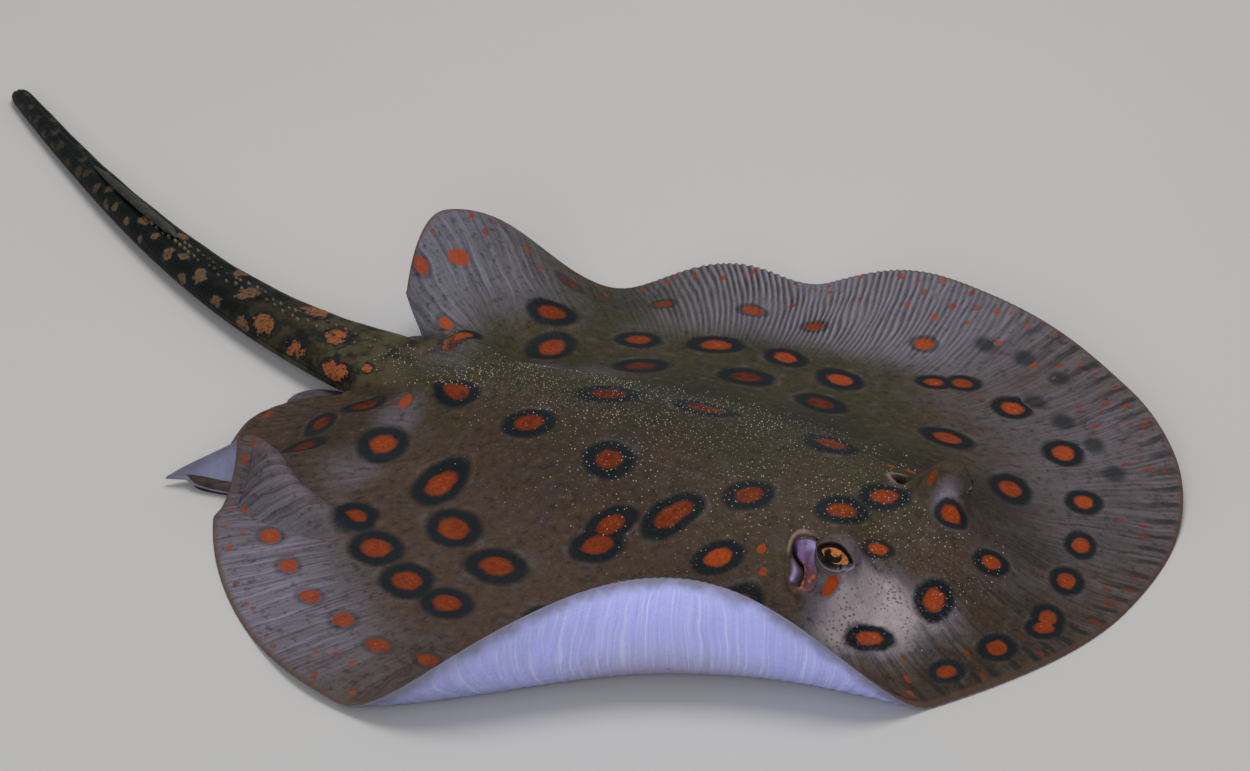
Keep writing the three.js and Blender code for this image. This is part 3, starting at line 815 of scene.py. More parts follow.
def make_mesh(name, points, quads, tris, unwrap=None, flat=None, values=None):
    """A mesh object in metres from arrays in mm, with an OFBake map and named values."""
    faces = [f for f in (quads, tris) if len(f)]
    used = np.unique(np.concatenate([f.reshape(-1) for f in faces]))
    renumber = np.full(len(points), -1)
    renumber[used] = np.arange(len(used))
    loops = np.concatenate([renumber[f].reshape(-1) for f in faces])
    sizes = np.concatenate([np.full(len(f), f.shape[-1]) for f in faces])
    mesh = bpy.data.meshes.new(name)
    mesh.vertices.add(len(used))
    mesh.vertices.foreach_set("co", (points[used] * MM).astype(np.float32).reshape(-1))
    mesh.loops.add(len(loops))
    mesh.loops.foreach_set("vertex_index", loops.astype(np.int32))
    mesh.polygons.add(len(sizes))
    starts = np.concatenate([[0], np.cumsum(sizes)[:-1]])
    mesh.polygons.foreach_set("loop_start", starts.astype(np.int32))
    mesh.polygons.foreach_set("loop_total", sizes.astype(np.int32))
    mesh.update(calc_edges=True)
    mesh.shade_smooth()
    if unwrap is not None:
        layer = mesh.uv_layers.new(name="OFBake")
        layer.data.foreach_set("uv", (unwrap / ATLAS.side).astype(np.float32).reshape(-1))
    if flat is not None:
        attribute = mesh.attributes.new("flat", "FLOAT_VECTOR", "POINT")
        attribute.data.foreach_set("vector", flat[used].astype(np.float32).reshape(-1))
    for key, value in (values or {}).items():
        attribute = mesh.attributes.new(key, "FLOAT", "POINT")
        attribute.data.foreach_set("value", value[used].astype(np.float32))
    mesh.validate()
    piece = bpy.data.objects.new(name, mesh)
    bpy.context.scene.collection.objects.link(piece)
    return piece


def grid_corners(grid, turned=False):
    """The four corners of each face of a grid, or of the same faces turned over."""
    corners = [grid[:-1, :-1], grid[:-1, 1:], grid[1:, 1:], grid[1:, :-1]]
    return corners[::-1] if turned else corners


def grid_normals(points):
    along_row = np.gradient(points, axis=1)
    looped = np.concatenate([points[-1:], points, points[:1]])
    along_line = np.gradient(looped, axis=0)[1:-1]
    normals = np.cross(along_row, along_line)
    normals[:, 0] = (0, 0, 1)
    return unit(normals)


def tail_place(x, y):
    """Share along the tail and sideways place in half widths, near its root."""
    share = np.clip((TAIL.root[0] - x) / TAIL.length, 0, TAIL_JOIN.furthest)
    middle = np.interp(share * TAIL.length, TAIL_DISTANCE, TAIL_PLACES[:, 1])
    return share, (y - middle) / (along(TAIL_WIDTHS, share) / 2)


def sheet_grid():
    """Lines, rows and both faces of the disc."""
    angles = spread(-180, 180, LINES + 1, line_density)[:-1]
    rows = spread(0, 1, ROWS, row_density)
    row = np.broadcast_to(rows, (LINES, ROWS))
    lean = lean_of(row) * hump(turn(angles[:, None] - FOLD.at) / FOLD.reach)
    angle = angles[:, None] + lean

    join = TAIL_JOIN
    off = np.abs(turn(angles - join.middle))
    straight = TAIL_SHEET_END / np.cos(np.radians(angles))
    own = outline(angles)
    inside = 1 - ramp((off - join.half) / join.fade)
    reach = np.where(off < join.near, between(own, straight, inside) / own, 1.0)[:, None]
    row = row * reach
    bottom = underside(angle, row)
    length = outline(angle) * row
    x = length * np.cos(np.radians(angle))
    y = length * np.sin(np.radians(angle))

    onset = TAIL_ONSET
    share, sideways = tail_place(x, y)
    beside = np.abs(sideways)
    upright = ramp((onset.upright - x) / onset.upright_over)
    upright = (upright * ramp((onset.upright_to - beside) / onset.upright_fade))[..., None]
    normals = grid_normals(underside(angle, row, seated=False))
    normals = unit(normals * (1 - upright) + np.array([0, 0, 1]) * upright)
    depth = thickness(row, x, y)
    top = tail_section(share, np.clip(sideways, -1, 1))[1]
    top = top * (1 - ramp((beside - 1) / onset.flank_fade))
    rising = ramp((onset.rise - x) / onset.rise_over)
    over = smooth_max(depth, top - bottom[..., 2] * upright[..., 0], onset.blend)
    depth = np.where(x < onset.back_from, between(depth, over, rising), depth)
    rounding = np.sqrt(np.clip(1 - ((rows - 1 + RIM_ROUND) / RIM_ROUND).clip(0, 1) ** 2, 0, 1))
    joined = (off < join.half + join.fade)[:, None]
    depth = np.where(joined, depth, depth * (RIM_LEAST + RIM_SWELL * rounding))

    smooth = ramp((onset.smooth - x) / onset.smooth_over) * hump(sideways / onset.smooth_to)
    relief = back_relief(angle, row, x, y) * (1 - smooth)
    plain = bottom + normals * (depth - COAT_DEPTH)[..., None]
    head = (x > HEAD.from_x) & (row < HEAD.within)
    standing = np.where(head[..., None], grid_normals(plain), normals)
    masks = {name: values * head for name, values in spiracle_masks(plain).items()}
    relief = relief + spiracle_relief(plain) * head
    back, eye_masks = wrap_eyes(plain + standing * relief[..., None])
    masks.update(eye_masks)
    back[..., 2] = np.maximum(back[..., 2], LOWEST_BACK)
    inwards = np.clip(belly_relief(angle, row, x, y), -MOST_OUTWARDS, None) + 0.5 * COAT_DEPTH
    belly = bottom + normals * inwards[..., None]
    belly[..., 2] = np.maximum(belly[..., 2], LOWEST_BELLY)
    onto_tail = ramp((onset.coloured - x) / onset.coloured_over)
    onto_tail = onto_tail * ramp((onset.coloured_to - beside) / onset.coloured_fade)
    return dict(
        angles=angles, rows=rows, angle=angle, row=row, x=x, y=y, back=back, belly=belly,
        masks=masks, onto_tail=onto_tail, in_tail=off <= join.half,
    )


def skin_values(grid):
    x, y, angle, row = grid["x"], grid["y"], grid["angle"], grid["row"]
    pale = np.maximum(wing_paleness(angle, row), wash(x, y, PALE_WASHES))
    shared = dict(reach=row, pleat=pleat_mask(angle, row), phase=pleat_phase(angle, row))
    back = dict(
        shared, pale=pale, dark=wash(x, y, SHADE_AND_DARK_WASHES), onto_tail=grid["onto_tail"],
        **grid["masks"], **spot_fields(x, y, all_spots()),
    )
    opening = np.clip(belly_relief(angle, row, x, y) / 0.8 - 0.3, 0, 1) * (row < 0.72)
    belly = dict(shared, under=1.0, spot=NO_SPOT, onto_tail=grid["onto_tail"], opening=opening)
    return back, belly


# (row, lines): inside this row, faces are this many lines wide.
BACK_STRIDES = [(.44, 2), (.22, 4), (.1, 8)]
BELLY_STRIDES = [(.6, 2), (.3, 4), (.14, 8)]


def strides(rows, coarse):
    """How many lines to step over at each row: fewer lines are needed near the middle."""
    steps = np.ones(len(rows), int)
    for limit, step in coarse:
        steps[rows < limit] = step
    return steps


def disc_faces(skin, numbers, steps, facing):
    """Faces of one side of the disc; rows with different strides are stitched by triangles."""
    lines = len(numbers)
    order = slice(None) if facing > 0 else slice(None, None, -1)
    for j in range(1, len(steps) - 1):
        here, beyond = steps[j], steps[j + 1]
        i = np.arange(0, lines, here)
        k = (i + here) % lines
        if here == beyond:
            quads = (numbers[i, j], numbers[i, j + 1], numbers[k, j + 1], numbers[k, j])
            skin.add_faces(stacked(*quads)[:, order])
        else:
            m = i + beyond
            for a, b, c in (
                (numbers[i, j], numbers[i, j + 1], numbers[m, j + 1]),
                (numbers[i, j], numbers[m, j + 1], numbers[k, j]),
                (numbers[k, j], numbers[m, j + 1], numbers[k, j + 1]),
            ):
                skin.add_faces(stacked(a, b, c)[:, order])
    i = np.arange(0, lines, steps[1])
    k = (i + steps[1]) % lines
    middle = np.full(len(i), numbers[0, 0])
    skin.add_faces(stacked(middle, numbers[i, 1], numbers[k, 1])[:, order])


# The third flat coordinate: 0 on the back, these on the belly and on the pelvic fins.
BELLY_LEVEL, FIN_LEVEL = 40.0, 80.0

# How wide the strips round the rim, and those down the tail's sides, lie on the unwrap, in mm.
RIM_STRIP, FLANK_STRIP = 2.0, 3.0


def add_disc(skin, grid):
    x, y = grid["x"], grid["y"]
    back_values, belly_values = skin_values(grid)
    back_map, belly_map = stacked(x, y) + ATLAS.back, stacked(-x, y) + ATLAS.belly
    back = skin.block(grid["back"], stacked(x, y, 0), back_map, **back_values)
    belly = skin.block(grid["belly"], stacked(x, y, BELLY_LEVEL), belly_map, **belly_values)
    disc_faces(skin, back, strides(grid["rows"], BACK_STRIDES), 1)
    disc_faces(skin, belly, strides(grid["rows"], BELLY_STRIDES), -1)

    i = np.arange(LINES)
    k = (i + 1) % LINES
    open_edge = ~(grid["in_tail"][i] & grid["in_tail"][k])
    i, k = i[open_edge], k[open_edge]
    edge = back_map[:, -1]
    corners = stacked(back[i, -1], belly[i, -1], belly[k, -1], back[k, -1])
    beyond = edge + unit(stacked(x[:, -1], y[:, -1])) * RIM_STRIP
    skin.add_faces(corners, np.stack([edge[i], beyond[i], beyond[k], edge[k]], axis=1))
    return back, belly


# The tail's blunt end, in shares along it, and the low keel down its middle, in mm.
TAIL_GIRTH = 1.15
TAIL_END = Sizes(start=0.985, length=0.0152, width=0.25)
KEEL = Sizes(height=0.5, half_width=0.3, rise=40, uneven=0.3)


def add_tail(skin, grid, back, belly):
    """Grows the tail from the open rear edge of the disc, ring by ring."""
    lines = np.where(grid["in_tail"])[0]
    lines = lines[np.argsort(turn(grid["angles"][lines] - 180))]
    root_back = grid["back"][lines, -1]
    root_belly = grid["belly"][lines, -1]
    start = (TAIL.root[0] - TAIL_SHEET_END) / TAIL.length
    shares = spread(start, 1, TAIL_RINGS + 1, lambda at: 1.0 + 2.0 * (at > TAIL_END.start))[1:]
    distance = (shares - start) * TAIL.length
    root_sideways = -tail_place(root_back[:, 0], root_back[:, 1])[1]
    edge = np.where(root_sideways < 0, -root_sideways.min(), root_sideways.max())
    eased = np.sin(root_sideways / edge * math.pi / 2)
    share = shares[:, None]
    settle = 1 - ramp(distance / TAIL_JOIN.flank)[:, None]
    sideways = eased + (root_sideways - eased) * settle
    low, high = tail_section(share, sideways)
    root_low, root_high = tail_section(start, root_sideways)
    high = high + (root_back[:, 2] + COAT_DEPTH - root_high) * settle
    low = low + (root_belly[:, 2] - 0.5 * COAT_DEPTH - root_low) * settle
    ending = ((share - TAIL_END.start) / TAIL_END.length).clip(0, 1)
    tip = np.sqrt(np.clip(1 - ending ** 2, 0, 1))
    mid = 0.5 * (high + low)
    high, low = mid + (high - mid) * tip, mid + (low - mid) * tip
    half = along(TAIL_WIDTHS, share) / 2 * between(TAIL_END.width, 1, tip)
    middle = tail_middle(share[:, 0])[:, None, :]
    across = tail_side(share[:, 0])[:, None, :] * (half * sideways)[..., None]
    plan = middle + across
    length = np.broadcast_to(distance[:, None], sideways.shape)
    keel = KEEL.height * hump(sideways / KEEL.half_width) * ramp(distance / KEEL.rise)[:, None]
    uneven = KEEL.uneven * wobble(length, sideways * 20, 11, 26) * (1 - settle)
    upper = lifted(plan, high - COAT_DEPTH + keel * tip + uneven)
    lower = lifted(plan, np.maximum(low + 0.5 * COAT_DEPTH, LOWEST_BELLY))

    values = dict(tail=np.clip(distance / distance[-1], 0, 1)[:, None], onto_tail=1.0, reach=1.0)
    quarter = np.arcsin(np.clip(sideways, -1, 1)) / (math.pi / 2)
    girth = quarter * half * TAIL_GIRTH
    girth_low = np.sign(quarter) * (2 - np.abs(quarter)) * half * TAIL_GIRTH
    patches = tail_patches(distance[-1], lambda far: float(np.interp(far, distance, half[:, 0])))
    strip = stacked(length + 8, sideways * half * 1.2 + ATLAS.tail)
    strip_low = strip + np.array([0, ATLAS.tail_sole])
    upper_flat = stacked(TAIL_SHEET_END - length, girth, 0)
    lower_flat = stacked(TAIL_SHEET_END - length, girth_low, 0)
    sole = ramp((0.9 - np.abs(sideways)) / 0.12)
    top = skin.block(upper, upper_flat, strip, **values, **spot_fields(length, girth, patches))
    bottom = skin.block(
        lower, lower_flat, strip_low, under=sole, **values, **spot_fields(length, girth_low, patches),
    )
    tail_skin(skin, top, bottom, back[lines, -1], belly[lines, -1])
    return dict(upper=upper, shares=shares, sideways=sideways, flat=upper_flat, unwrap=strip)


def tail_skin(skin, top, bottom, first_top, first_bottom):
    """Faces round the tail: its top, its underside, its two sides and its end."""
    unwrap = np.concatenate(skin.unwrap)
    wide = top.shape[1]
    tops = np.concatenate([first_top[None], top])
    bottoms = np.concatenate([first_bottom[None], bottom])
    for sheet, own, turned in ((tops, unwrap[top], True), (bottoms, unwrap[bottom], False)):
        shift = own[1] - own[0]
        places = np.concatenate([(own[0] - shift)[None], own])
        corners = stacked(*grid_corners(sheet, turned))
        skin.add_faces(corners, np.stack(grid_corners(places, turned), axis=-2))
    own = unwrap[top]
    places = np.concatenate([(2 * own[0] - own[1])[None], own])
    for edge, outwards in ((0, -1), (wide - 1, 1)):
        a, b = tops[:-1, edge], tops[1:, edge]
        c, d = bottoms[1:, edge], bottoms[:-1, edge]
        sign = np.sign(places[1, wide - 1, 1] - places[1, 0, 1]) * outwards
        drop = np.array([0, FLANK_STRIP * sign])
        pa, pb = places[:-1, edge], places[1:, edge]
        corners = [a, b, c, d]
        maps = [pa, pb, pb + drop, pa + drop]
        if outwards < 0:
            corners, maps = corners[::-1], maps[::-1]
        skin.add_faces(stacked(*corners), np.stack(maps, axis=-2))
    end_top, end_bottom = top[-1], bottom[-1]
    corners = stacked(end_bottom[:-1], end_bottom[1:], end_top[1:], end_top[:-1])
    place = unwrap[end_top]
    out = place + (RIM_STRIP, 0)
    skin.add_faces(corners, np.stack([out[:-1], out[1:], place[1:], place[:-1]], axis=1))


# Half widths and middles of a pelvic fin along its length, from its root under the body.
PELVIC = Sizes(
    root=-98, tip=-174, shift=-3, widest=0.66, thickness=3.3, rows=56, lines=30,
    root_round=0.1, tip_round=0.12, lifted=0.8, lifted_until=0.1, lift_over=0.3,
    halves=[(0, 9), (0.4, 12), (0.7, 15.5), (1, 15.5)],
    middles=[(0, 22), (0.5, 27), (0.75, 30), (1, 29)],
)


def border(grid):
    """The points round the edge of a grid, each once."""
    return np.concatenate([grid[0, :-1], grid[:-1, -1], grid[-1, :0:-1], grid[:0:-1, 0]])


def add_pelvic_fin(skin, side):
    """A rounded leaf on the floor beside the root of the tail, growing from under the body."""
    p = PELVIC
    u = np.linspace(0, 1, p.rows)[:, None]
    v = np.sin(np.linspace(-1, 1, p.lines) * math.pi / 2)[None, :]
    beyond = np.clip((u - p.widest) / (1 - p.widest), 0, 1)
    breadth = along(p.halves, u) * np.sqrt(1 - beyond ** 2) + 0.02
    x = between(p.root, p.tip, u) * np.ones_like(v)
    centre = along(p.middles, u)
    y = (centre + breadth * v) * side + p.shift
    rounding = ramp(u / p.root_round) * ramp((1 - u) / p.tip_round)
    half = 0.5 * p.thickness * np.sqrt(np.clip(1 - v ** 2, 0, 1)) * rounding
    lift = p.lifted * (1 - ramp((u - p.lifted_until) / p.lift_over))
    level = 0.5 * p.thickness + lift * np.ones_like(v)
    upper = stacked(x, y, level + half - 0.1)
    lower = stacked(x, y, np.maximum(level - half, LOWEST_BELLY))
    shift = np.array([ATLAS.fins[0], ATLAS.fins[1] + ATLAS.fin_gap * side])
    place = stacked(x - p.root, y - centre.mean() * side)
    flat = stacked(x, y, FIN_LEVEL)
    shades = dict(pale=0.35, dark=0.15, spot=NO_SPOT, reach=0.8)
    top = skin.block(upper, flat, place + shift, **shades)
    low = skin.block(lower, flat, place + shift - (ATLAS.fin_sole, 0), under=1.0, **shades)
    for sheet, turned in ((top, side < 0), (low, side > 0)):
        skin.add_faces(stacked(*grid_corners(sheet, turned)))
    a, d = border(top), border(low)
    b, c = np.roll(a, -1), np.roll(d, -1)
    corners = [a, b, c, d] if side < 0 else [b, a, d, c]
    unwrap = np.concatenate(skin.unwrap)
    maps = [unwrap[q] for q in ([a, b, b, a] if side < 0 else [b, a, a, b])]
    skin.add_faces(stacked(*corners), np.stack(maps, axis=-2))


def build_skin():
    skin = Skin()
    grid = sheet_grid()
    back, belly = add_disc(skin, grid)
    tail = add_tail(skin, grid, back, belly)
    for side in (-1, 1):
        add_pelvic_fin(skin, side)
    quads = np.concatenate(skin.faces[4])
    tris = np.concatenate(skin.faces[3])
    unwrap = np.concatenate([np.concatenate(skin.corners[n]).reshape(-1, 2) for n in (4, 3)])
    values = {name: np.concatenate(parts) for name, parts in skin.values.items()}
    piece = make_mesh(
        "ray_skin", np.concatenate(skin.points), quads, tris, unwrap,
        np.concatenate(skin.flat), values,
    )
    return piece, grid, tail


# ---------------------------------------------------------------- materials


def colour(red, green, blue):
    """An sRGB colour of 0 to 255 as Blender's linear RGBA."""
    linear = []
    for value in (red, green, blue):
        share = value / 255
        linear.append(share / 12.92 if share <= 0.04045 else ((share + 0.055) / 1.055) ** 2.4)
    return (*linear, 1.0)


class Field:
    """A number inside a material's node tree, with the usual arithmetic."""

    def __init__(self, shade, socket):
        self.shade, self.socket = shade, socket

    def combine(self, operation, *others, clamp=False):
        node = self.shade.add("ShaderNodeMath")
        node.operation = operation
        node.use_clamp = clamp
        for place, value in enumerate((self,) + others):
            self.shade.plug(value, node.inputs[place])
        return Field(self.shade, node.outputs[0])

    def __add__(self, other):
        return self.combine("ADD", other)

    def __sub__(self, other):
        return self.combine("SUBTRACT", other)

    def __mul__(self, other):
        return self.combine("MULTIPLY", other)

    def __rsub__(self, other):
        return (self * -1) + other

    __radd__, __rmul__ = __add__, __mul__

    def most(self, other):
        return self.combine("MAXIMUM", other)

    def clamped(self):
        return self.combine("ADD", 0, clamp=True)

    def size(self):
        return self.combine("ABSOLUTE")

    def sine(self):
        return self.combine("SINE")

    def length_with(self, other):
        return (self * self + other * other).combine("SQRT")

    def rise(self, start, end):
        """0 up to start, 1 from end, and a smooth slope between."""
        node = self.shade.add("ShaderNodeMapRange")
        node.interpolation_type = "SMOOTHSTEP"
        turned = start > end
        low, high = (end, start) if turned else (start, end)
        self.shade.plug(self, node.inputs["Value"])
        node.inputs["From Min"].default_value = low
        node.inputs["From Max"].default_value = high
        node.inputs["To Min"].default_value = 1.0 if turned else 0.0
        node.inputs["To Max"].default_value = 0.0 if turned else 1.0
        return Field(self.shade, node.outputs["Result"])

    def band(self, middle, reach):
        """1 at the middle, falling to 0 at its reach on both sides."""
        return (self - middle).size().rise(reach, 0)


class Shade:
    """A procedural material under construction."""

    def __init__(self, name, roughness, **settings):
        self.material = bpy.data.materials.new(name)
        self.material.use_nodes = True
        self.tree = self.material.node_tree
        self.shader = self.tree.nodes["Principled BSDF"]
        self.shader.inputs["Roughness"].default_value = roughness
        for socket, value in settings.items():
            self.shader.inputs[socket.replace("_", " ")].default_value = value

    def add(self, kind):
        return self.tree.nodes.new(kind)

    def plug(self, value, socket):
        """Joins a field or an output to an input, or sets it to a number or to a named tone."""
        if isinstance(value, Field):
            self.tree.links.new(value.socket, socket)
        elif isinstance(value, bpy.types.NodeSocket):
            self.tree.links.new(value, socket)
        else:
            socket.default_value = TONES[value] if isinstance(value, str) else value

    def attribute(self, name):
        node = self.add("ShaderNodeAttribute")
        node.attribute_name = name
        return node.outputs

    def value(self, name):
        return Field(self, self.attribute(name)["Fac"])

    def place(self, name):
        return self.attribute(name)["Vector"]

    def surface(self):
        """Places on the piece itself, in metres."""
        return self.add("ShaderNodeTexCoord").outputs["Object"]

    def parts(self, vector):
        node = self.add("ShaderNodeSeparateXYZ")
        self.plug(vector, node.inputs[0])
        return [Field(self, output) for output in node.outputs]

    def angle(self, y, x):
        return y.combine("ARCTAN2", x)

    def join(self, x, y):
        node = self.add("ShaderNodeCombineXYZ")
        self.plug(x, node.inputs["X"])
        self.plug(y, node.inputs["Y"])
        return node.outputs[0]

    def noise(self, vector, size, detail=2.0, roughness=0.5):
        """Soft unevenness from 0 to 1 with features about this size."""
        node = self.add("ShaderNodeTexNoise")
        self.plug(vector, node.inputs["Vector"])
        node.inputs["Scale"].default_value = 1 / size
        node.inputs["Detail"].default_value = detail
        node.inputs["Roughness"].default_value = roughness
        stretched = (Field(self, node.outputs["Fac"]) - 0.5) * 2.0 + 0.5
        return stretched.clamped()

    def grains(self, vector, size):
        """Distance to the nearest of scattered grains, 0 at a grain's middle."""
        node = self.add("ShaderNodeTexVoronoi")
        self.plug(vector, node.inputs["Vector"])
        node.inputs["Scale"].default_value = 1 / size
        return Field(self, node.outputs["Distance"])

    def mix(self, share, first, second):
        """A colour this share of the way from the first to the second."""
        node = self.add("ShaderNodeMix")
        node.data_type = "RGBA"
        colours = [socket for socket in node.inputs if socket.type == "RGBA"]
        self.plug(share, node.inputs["Factor"])
        self.plug(first, colours[0])
        self.plug(second, colours[1])
        return [socket for socket in node.outputs if socket.type == "RGBA"][0]

    def layers(self, base, *layers):
        """The base under (share, colour) layers, each over those before it."""
        for share, tone in layers:
            base = self.mix(share, base, tone)
        return base

    def finish(self, base, bump=None, height=0.001, rough=None):
        self.plug(base, self.shader.inputs["Base Color"])
        if rough is not None:
            self.plug(rough, self.shader.inputs["Roughness"])
        if bump is not None:
            node = self.add("ShaderNodeBump")
            node.inputs["Distance"].default_value = height
            self.plug(bump, node.inputs["Height"])
            self.plug(node.outputs["Normal"], self.shader.inputs["Normal"])
        return self.material


TONES = {name: colour(*tone) for name, tone in dict(
    olive=(58, 53, 32), brown=(72, 56, 45), tan=(110, 92, 70), dark=(22, 21, 14),
    lilac=(126, 123, 139), streak=(150, 150, 168), pleat_crest_highlight=(140, 134, 140),
    pleat_trough_shadow=(30, 26, 24), ring=(15, 24, 28), halo=(112, 102, 98), spot_deep=(62, 18, 3),
    spot_bright=(164, 66, 14), spot_mark=(214, 112, 44), margin=(96, 74, 60), belly=(222, 224, 246),
    belly_blue=(176, 180, 238), belly_grey=(158, 150, 172), belly_margin_and_shade=(112, 110, 120),
    belly_spot=(120, 92, 116), tail_root=(76, 68, 46), tail_dark=(9, 13, 10),
    tail_patch=(104, 80, 54), tail_orange=(150, 82, 44), speckle=(88, 62, 74),
    cheek=(182, 166, 164), lid=(182, 176, 202), lid_crease=(92, 58, 40), socket=(16, 13, 12),
    valve=(172, 154, 204), valve_middle=(122, 96, 134), valve_low=(112, 82, 80),
    lip=(184, 150, 138), slit=(8, 5, 10), peach=(226, 130, 62), opening=(96, 62, 70),
    tail_sole=(150, 146, 160), tail_sole_tip=(64, 62, 64), iris_deep=(150, 78, 34),
    iris_bright=(232, 150, 82), iris_thread=(112, 60, 34), iris_edge=(96, 62, 50),
    iris_rim_and_shadow=(14, 12, 14), pupil=(6, 5, 7), eye_back=(40, 32, 30), sting_dark=(12, 12, 10),
    sting_pale=(40, 36, 28), denticle_dull=(120, 112, 92), denticle_pale=(186, 177, 158),
    thorn_dark=(46, 42, 32), thorn_pale=(96, 86, 64), floor_pale=(196, 194, 192),
    floor_grey=(186, 185, 184),
).items()}
STREAKS, BELLY_STREAKS = 95, 130


def skin_material():
    shade = Shade("ray skin", 0.5, Specular_IOR_Level=0.1)
    flat = shade.place("flat")
    x, y, _ = shade.parts(flat)
    reach = shade.value("reach")
    tail = shade.value("tail")
    on_tail = shade.value("onto_tail")
    under = shade.value("under")
    angle = shade.angle(y, x)
    surface = shade.surface()
    cloud = shade.noise(surface, 46 * MM, 3)
    mottle = shade.noise(surface, 9 * MM, 4, 0.6)
    vein = shade.noise(surface, 3.4 * MM, 4, 0.6)
    fine = shade.noise(surface, 1.3 * MM, 3, 0.6)

    near_side = (y + (cloud - 0.5) * 60).rise(25, -50)
    near_side = near_side.most(reach.rise(0.46, 0.7) * x.rise(-20, 40) * 0.9)
    ground = shade.mix(near_side, "olive", "brown")
    pale = shade.value("pale")
    ground = shade.layers(
        ground,
        ((pale + (mottle - 0.5) * 0.3).clamped() * 0.9, "lilac"),
        # The dark value is mostly painted shade: down the left side and in the lee of the fold.
        ((shade.value("dark") * 0.8 + (mottle - 0.5) * 0.3).clamped(), "dark"),
        (vein.rise(0.5, 0.95) * 0.6, "dark"),
        (vein.rise(0.42, 0.05) * 0.32, "tan"),
        (fine.rise(0.62, 0.9) * 0.3, "dark"),
        (fine.rise(0.34, 0.1) * 0.2, "tan"),
    )

    bent = angle + (cloud - 0.5) * 0.04
    ray = shade.noise(shade.join(bent * STREAKS, reach * 4), 1, 3, 0.6)
    outer = reach.rise(0.55, 0.86)
    ground = shade.layers(
        ground,
        (ray.rise(0.45, 0.95) * outer * 0.5, "dark"),
        (ray.rise(0.5, 0.1) * outer * pale * 0.5, "streak"),
    )
    ticks = (bent * 118 + mottle * 2).sine().rise(0.2, 0.9)
    ticks = ticks * (reach + (mottle - 0.5) * 0.06).rise(0.9, 0.97)
    ground = shade.mix(ticks * x.rise(-20, 60) * 0.7, ground, "ring")

    # Painted shadow in the pleats' troughs and painted highlight on their crests, over their relief.
    pleat = shade.value("pleat")
    wave = (shade.value("phase") + math.pi / 2).sine() * 0.5 + 0.5
    wave = (wave + (vein - 0.5) * 0.35 + (mottle - 0.5) * 0.3).rise(0.0, 1.0)
    pleat_light_and_shade = shade.mix(wave, "pleat_trough_shadow", "pleat_crest_highlight")
    ground = shade.layers(
        ground,
        ((pleat * (0.5 + pale * 0.45)).clamped(), pleat_light_and_shade),
        (reach.rise(0.985, 1.0) * 0.8, "margin"),
    )

    spot = shade.value("spot") + (mottle - 0.5) * 0.16 + (vein - 0.5) * 0.16 + (fine - 0.5) * 0.1
    tone = shade.value("spot_tone")
    ring = shade.value("spot_ring")
    eyespot = shade.mix((tone + (vein - 0.5) * 0.45).clamped(), "spot_deep", "spot_bright")
    speck = fine.rise(0.6, 0.85) * tone.rise(0.1, 0.8) * spot.rise(0.6, 0.2)
    eyespot = shade.layers(
        eyespot,
        (speck * 0.5, "spot_mark"),
        (fine.rise(0.4, 0.1) * 0.35, "spot_deep"),
    )
    dark_only = ring.rise(-0.5, -0.95)
    halo = spot.band(1.22, 0.2) * ring.clamped() * mottle.rise(0.4, 0.8)
    ground = shade.mix(halo * 0.22, ground, "halo")
    ringed = spot.rise(1.26, 0.9) * ring.clamped()
    ground = shade.mix(ringed.clamped(), ground, "ring")
    blotch = spot.rise(1.25, 0.5) * dark_only * ring.rise(-1.7, -1.2)
    ground = shade.mix((blotch * 0.75).clamped(), ground, "ring")
    ringless = 1 - ring.clamped()
    inside = (spot - ringless * 0.26).rise(0.65, 0.44) * ring.rise(-0.6, -0.2)
    inside = inside * (0.75 + ring * 0.25 + tone.rise(0.9, 1.2) * 0.25)
    back = shade.mix(inside.clamped(), ground, eyespot)

    cheek = (pale + (mottle - 0.5) * 0.3).rise(0.35, 0.9) * x.rise(90, 102)
    back = shade.mix(cheek * spot.rise(0.9, 1.3) * (0.65 + (vein - 0.5) * 0.5), back, "cheek")
    freckle = (shade.grains(surface, 1.5 * MM) + (fine - 0.5) * 0.12).rise(0.4, 0.22)
    freckle = freckle * mottle.rise(0.2, 0.6) * pale.rise(0.3, 0.7) * x.rise(90, 104)
    back = shade.mix(freckle * 0.75, back, "speckle")

    toward_tip = (tail + (mottle - 0.5) * 0.2).rise(-0.08, 0.3)
    tail_ground = shade.mix(toward_tip, "tail_root", "tail_dark")
    tail_ground = shade.mix(mottle.rise(0.4, 0.75) * 0.75, tail_ground, "tail_dark")
    blob = spot + (mottle - 0.5) * 1.0 + (vein - 0.5) * 1.1
    tail_ground = shade.mix(blob.rise(1.9, 1.2) * 0.9, tail_ground, "ring")
    patch = shade.mix(tone.rise(0.4, 0.6), "tail_patch", "tail_orange")
    patch = shade.layers(
        patch,
        (fine.rise(0.5, 0.8) * 0.7, "tail_dark"),
        (vein.rise(0.5, 0.8) * 0.6, "tail_root"),
        (tail.rise(0.45, 0.75) * 0.7, "tail_dark"),
    )
    tail_colour = shade.mix(blob.rise(1.1, 0.85), tail_ground, patch)
    back = shade.mix(on_tail, back, tail_colour)

